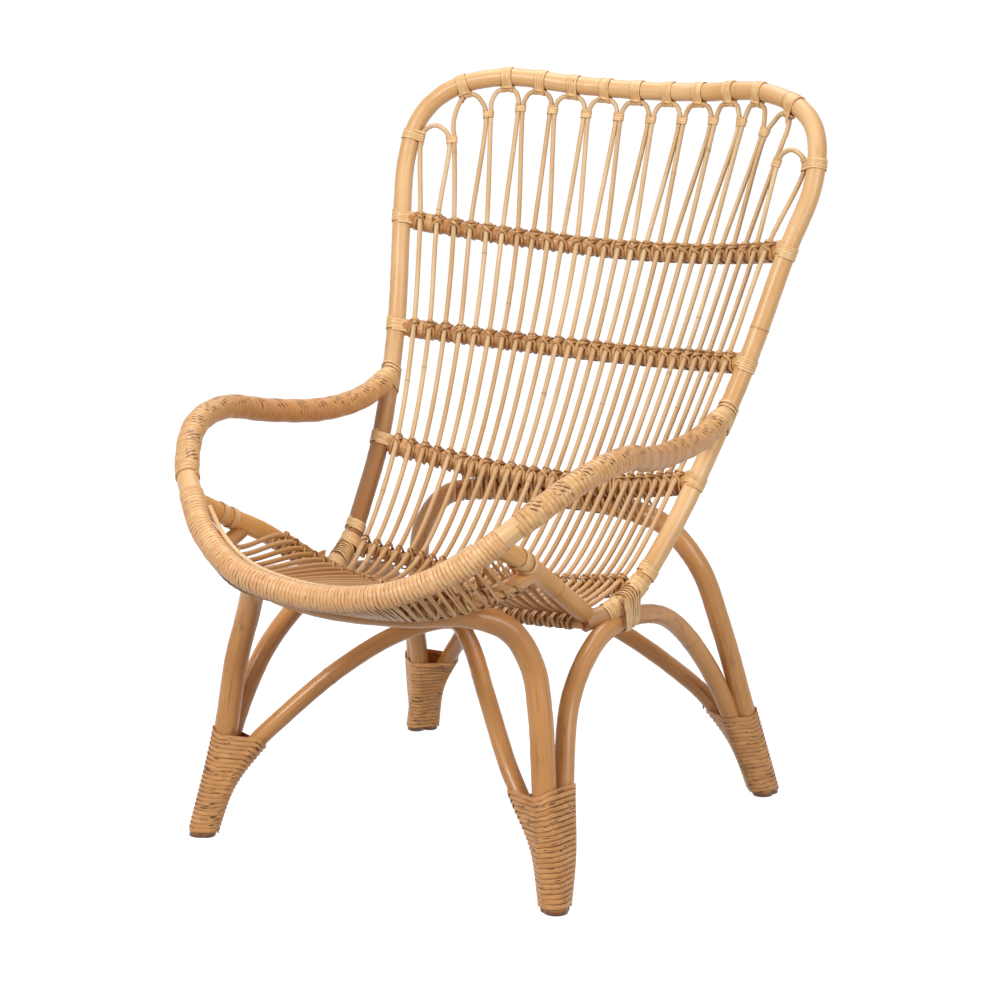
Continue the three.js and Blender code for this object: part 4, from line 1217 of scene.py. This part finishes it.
def wrapJoints():
    paths = []
    for side, away in sides.items():
        for number, (name, reach) in enumerate(postTurns["stubs"].items()):
            rail = rails[name]
            paths.append(jointWrap(frameLine, frameLine.nearest(rail.place(away)),
                                   backFrame["radius"], rail.place(away * postTurns["aimShare"]), postTurns,
                                   number * 0.7 + away * 0.2,
                                   (reach, rail.radius * postTurns["stubShare"])))
        end = 0.0 if away > 0 else 1.0
        paths.append(armJointWrap(end, abs(end - armTurns["near"])))
        rail = sideLines[side]
        for number, depth in enumerate(sideTurns["depths"]):
            paths.append(jointWrap(rail, rail.shareWhere(1, depth), sideRail["radius"],
                                   rails["seat_rail_middle"].place(0), sideTurns, 5.3 + number))
        for number, v in enumerate(heelBands):
            share = frameLine.shareWhere(1, v["depth"], end, abs(end - heelStretch))
            paths.append(jointWrap(frameLine, share, backFrame["radius"], v["aim"], v, 7.7 + number))
    strips("jointWraps", paths, jointTurns)


wrapJoints()

strap = {**jointTurns, "turns": 6, "steps": 36, "startTurn": 0.1, "lift": 1.0, "halfLength": 14,
         "reach": 45, "archDrop": 27}
strapTail = {**jointTurns, "stripWidth": 5.6, "count": 3, "steps": 14, "start": vec(15.6, -20, 10),
             "step": vec(0.3, -5.2, 0), "run": vec(3.2, 2.5, -46), "bulge": vec(2.2, 0, 0)}


def strapArches():
    # turns that hold each side arch up to the bend of the frame, and the flat tails of the strap
    turns, tails = [], []
    for side, away in sides.items():
        across, arch = (away, 1, 1), sideArches[side]
        top = frameLine.where(1, legs["side"]["depth"], 0, heelStretch) * across
        wrap = Bundle(top, vec(0, 1, 0), vec(away, 0, 0), [
            (frameLine, frameLine.nearest(top), strap["reach"], backFrame["radius"]),
            (arch, arch.nearest(top - up * strap["archDrop"]), strap["reach"],
             legs["side"]["radius"])])
        turns.append(wrap.strip(strap, -strap["halfLength"], strap["halfLength"], 2.2 + away))
        for number in range(strapTail["count"]):
            drop = np.linspace(0, 1, strapTail["steps"])[:, None]
            course = (strapTail["start"] + strapTail["step"] * number + strapTail["run"] * drop
                      + strapTail["bulge"] * np.sin(drop * math.pi))
            tails.append({"points": top + course * across, "outward": vec(away, -0.1, 0.05),
                          "seed": 0.6 * number})
    strips("archStraps", turns, strap)
    strips("strapTails", tails, strapTail)


strapArches()

hanging = {"stripWidth": 3.8, "stripThickness": 1.3, "pitch": 4.9, "from": -205, "to": 232,
           "jitter": 0.8, "slant": 12, "halfTurn": 104, "steps": 24, "sunk": 2.5,
           "sinkPower": 6}


def hangingLoop(x, slope, rail):
    # from under the peel of the front rail round the front seat rail and back, slanting
    seed = chance.uniform(0, 9)
    share = armLine.shareWhere(0, x, *frontStretch)
    points, outward = [], []
    for angle in np.linspace(-hanging["halfTurn"], hanging["halfTurn"], hanging["steps"] + 1):
        part, turn = angle / hanging["halfTurn"], math.radians(angle)
        here = armLine.shareBeyond(share, slope * hanging["slant"] * part)
        at, tangent = armLine.at(here), armLine.tangent(here)
        beyond = (rail - at) @ tangent
        order = np.argsort(beyond)
        other = np.array([np.interp(0, beyond[order], rail[order, k]) for k in range(3)]) - at
        distance, u = np.linalg.norm(other), unit(other)
        v = np.cross(tangent, u)
        near = peelRadius - hanging["sunk"] * abs(part) ** hanging["sinkPower"]
        far = distance * math.cos(turn) + frontSeat["radius"] + knot["stripThickness"] + touchGap
        reach, growth = max((near, 0.0), (far, -distance * math.sin(turn)))
        out, side = turned(u, v, turn)
        points.append(at + out * (reach + touchGap) + side * growth)
        outward.append(out)
    return {"points": np.array(points), "outward": np.array(outward), "seed": seed,
            "tone": chance.uniform(0, 1)}


def lashFrontRails():
    # loops that hang the front seat rail from the front rail, every other one slanting back
    rail, paths = frontSeatLine.at(np.linspace(0, 1, 1201)), []
    for number, x in enumerate(np.arange(hanging["from"], hanging["to"], hanging["pitch"])):
        x = x + chance.uniform(-hanging["jitter"], hanging["jitter"])
        paths.append(hangingLoop(x, 1 if number % 2 else -1, rail))
    strips("frontLashing", paths, hanging, "knotPeel")


lashFrontRails()

archLoop = {"stripWidth": 3.8, "stripThickness": 1.5, "pitch": 8.2, "halfWidth": 150, "slant": 5,
            "turns": 1.04, "steps": 30, "startTurn": 0.6, "lift": 0.9, "railReach": 30,
            "archReach": 40}


def lashRearArch():
    # long loops that tie the lower back rail to the rear leg arch
    rail, paths = rails["back_rail_lower"], []
    for x in np.arange(-archLoop["halfWidth"], archLoop["halfWidth"] + 1, archLoop["pitch"]):
        share = rail.line.shareWhere(0, x)
        wrap = Bundle(rail.line.at(share), rail.line.tangent(share), up, [
            (rail.line, share, archLoop["railReach"], rail.radius + railSwell),
            (rearArch, rearArch.shareWhere(0, x), archLoop["archReach"], legs["rear"]["radius"])])
        slant = chance.uniform(-archLoop["slant"], archLoop["slant"])
        paths.append(wrap.strip(archLoop, -1, 1, chance.uniform(0, 9),
                                lambda angle, along: along + slant * math.sin(angle)))
    strips("rearArchLashing", paths, archLoop, "knotPeel")


lashRearArch()
print("joints wrapped")


# Floor, light and camera

stage = {"floorSize": 60, "lift": 0.5, "glow": 1.9, "tone": 0.4, "roughness": 0.9, "sky": 0.2,
         "aim": (0, 0, 0.5)}
lamps = {
    "key": {"at": (-0.8, -3.4, 2.7), "size": 1.5, "power": 104},
    "side": {"at": (3.1, -0.9, 2.0), "size": 1.6, "power": 52},
    "top": {"at": (-0.6, 0.9, 3.2), "size": 1.8, "power": 44}}
camera = {"azimuth": 31.74, "elevation": 13.21, "lens": 110.53, "distance": 4.309,
          "height": 0.46012, "aside": 0.01958, "sensor": 36}


def addToScene(name, data):
    obj = bpy.data.objects.new(name, data)
    scene.collection.objects.link(obj)
    return obj


def seenDirectly(bench):
    # 1 for the camera's rays, reflections and what shows through
    rays = [bench.node("LightPath", out=f"Is {kind} Ray")
            for kind in ("Camera", "Glossy", "Transmission")]
    return bench.sum("MAXIMUM", rays[0], bench.sum("MAXIMUM", rays[1], rays[2]))


def makeFloor():
    size = stage["floorSize"] / 2
    mesh = bpy.data.meshes.new("floor")
    mesh.from_pydata([(-size, -size, 0), (size, -size, 0), (size, size, 0), (-size, size, 0)], [],
                     [(0, 1, 2, 3)])
    m = Finish("paleFloor", {})
    m.shader.inputs["Base Color"].default_value = (*[stage["tone"]] * 3, 1)
    m.shader.inputs["Roughness"].default_value = stage["roughness"]
    glow = m.node("Emission", None, {"Color": (1, 1, 1, 1), "Strength": stage["glow"]})
    both = m.node("MixShader", None, {
        0: seenDirectly(m) * stage["lift"], 1: Wire(m, m.shader.outputs[0]), 2: glow})
    m.feed(m.tree.nodes["Material Output"].inputs["Surface"], both)
    mesh.materials.append(m.material)
    addToScene("floor", mesh)


def makeWorld():
    world = bpy.data.worlds.new("softWorld")
    scene.world = world
    world.use_nodes = True
    bench = Bench(world.node_tree)
    dim, white = (bench.node("Background", None, {"Color": (1, 1, 1, 1), "Strength": strength})
                  for strength in (stage["sky"], 1.0))
    both = bench.node("MixShader", None, {0: seenDirectly(bench), 1: dim, 2: white})
    bench.feed(bench.tree.nodes["World Output"].inputs["Surface"], both)


def makeLamps():
    for name, v in lamps.items():
        light = bpy.data.lights.new(name, "AREA")
        light.size, light.energy = v["size"], v["power"]
        obj = addToScene(name, light)
        obj.location = v["at"]
        aim = Vector(stage["aim"]) - Vector(v["at"])
        obj.rotation_euler = aim.to_track_quat("-Z", "Y").to_euler()


def makeCamera():
    a, e = math.radians(camera["azimuth"]), math.radians(camera["elevation"])
    right = Vector((math.cos(a), math.sin(a), 0))
    back = Vector((math.sin(a) * math.cos(e), -math.cos(a) * math.cos(e), math.sin(e)))
    target = Vector((0, centring * mm, camera["height"])) + right * camera["aside"]
    data = bpy.data.cameras.new("camera")
    data.lens, data.sensor_width = camera["lens"], camera["sensor"]
    obj = addToScene("camera", data)
    turn = Matrix((right, back.cross(right), back)).transposed().to_4x4()
    obj.matrix_world = Matrix.Translation(target + back * camera["distance"]) @ turn
    scene.camera = obj


makeFloor()
makeWorld()
makeLamps()
makeCamera()
scene.view_settings.view_transform = "Standard"
print("floor, lamps and camera set")
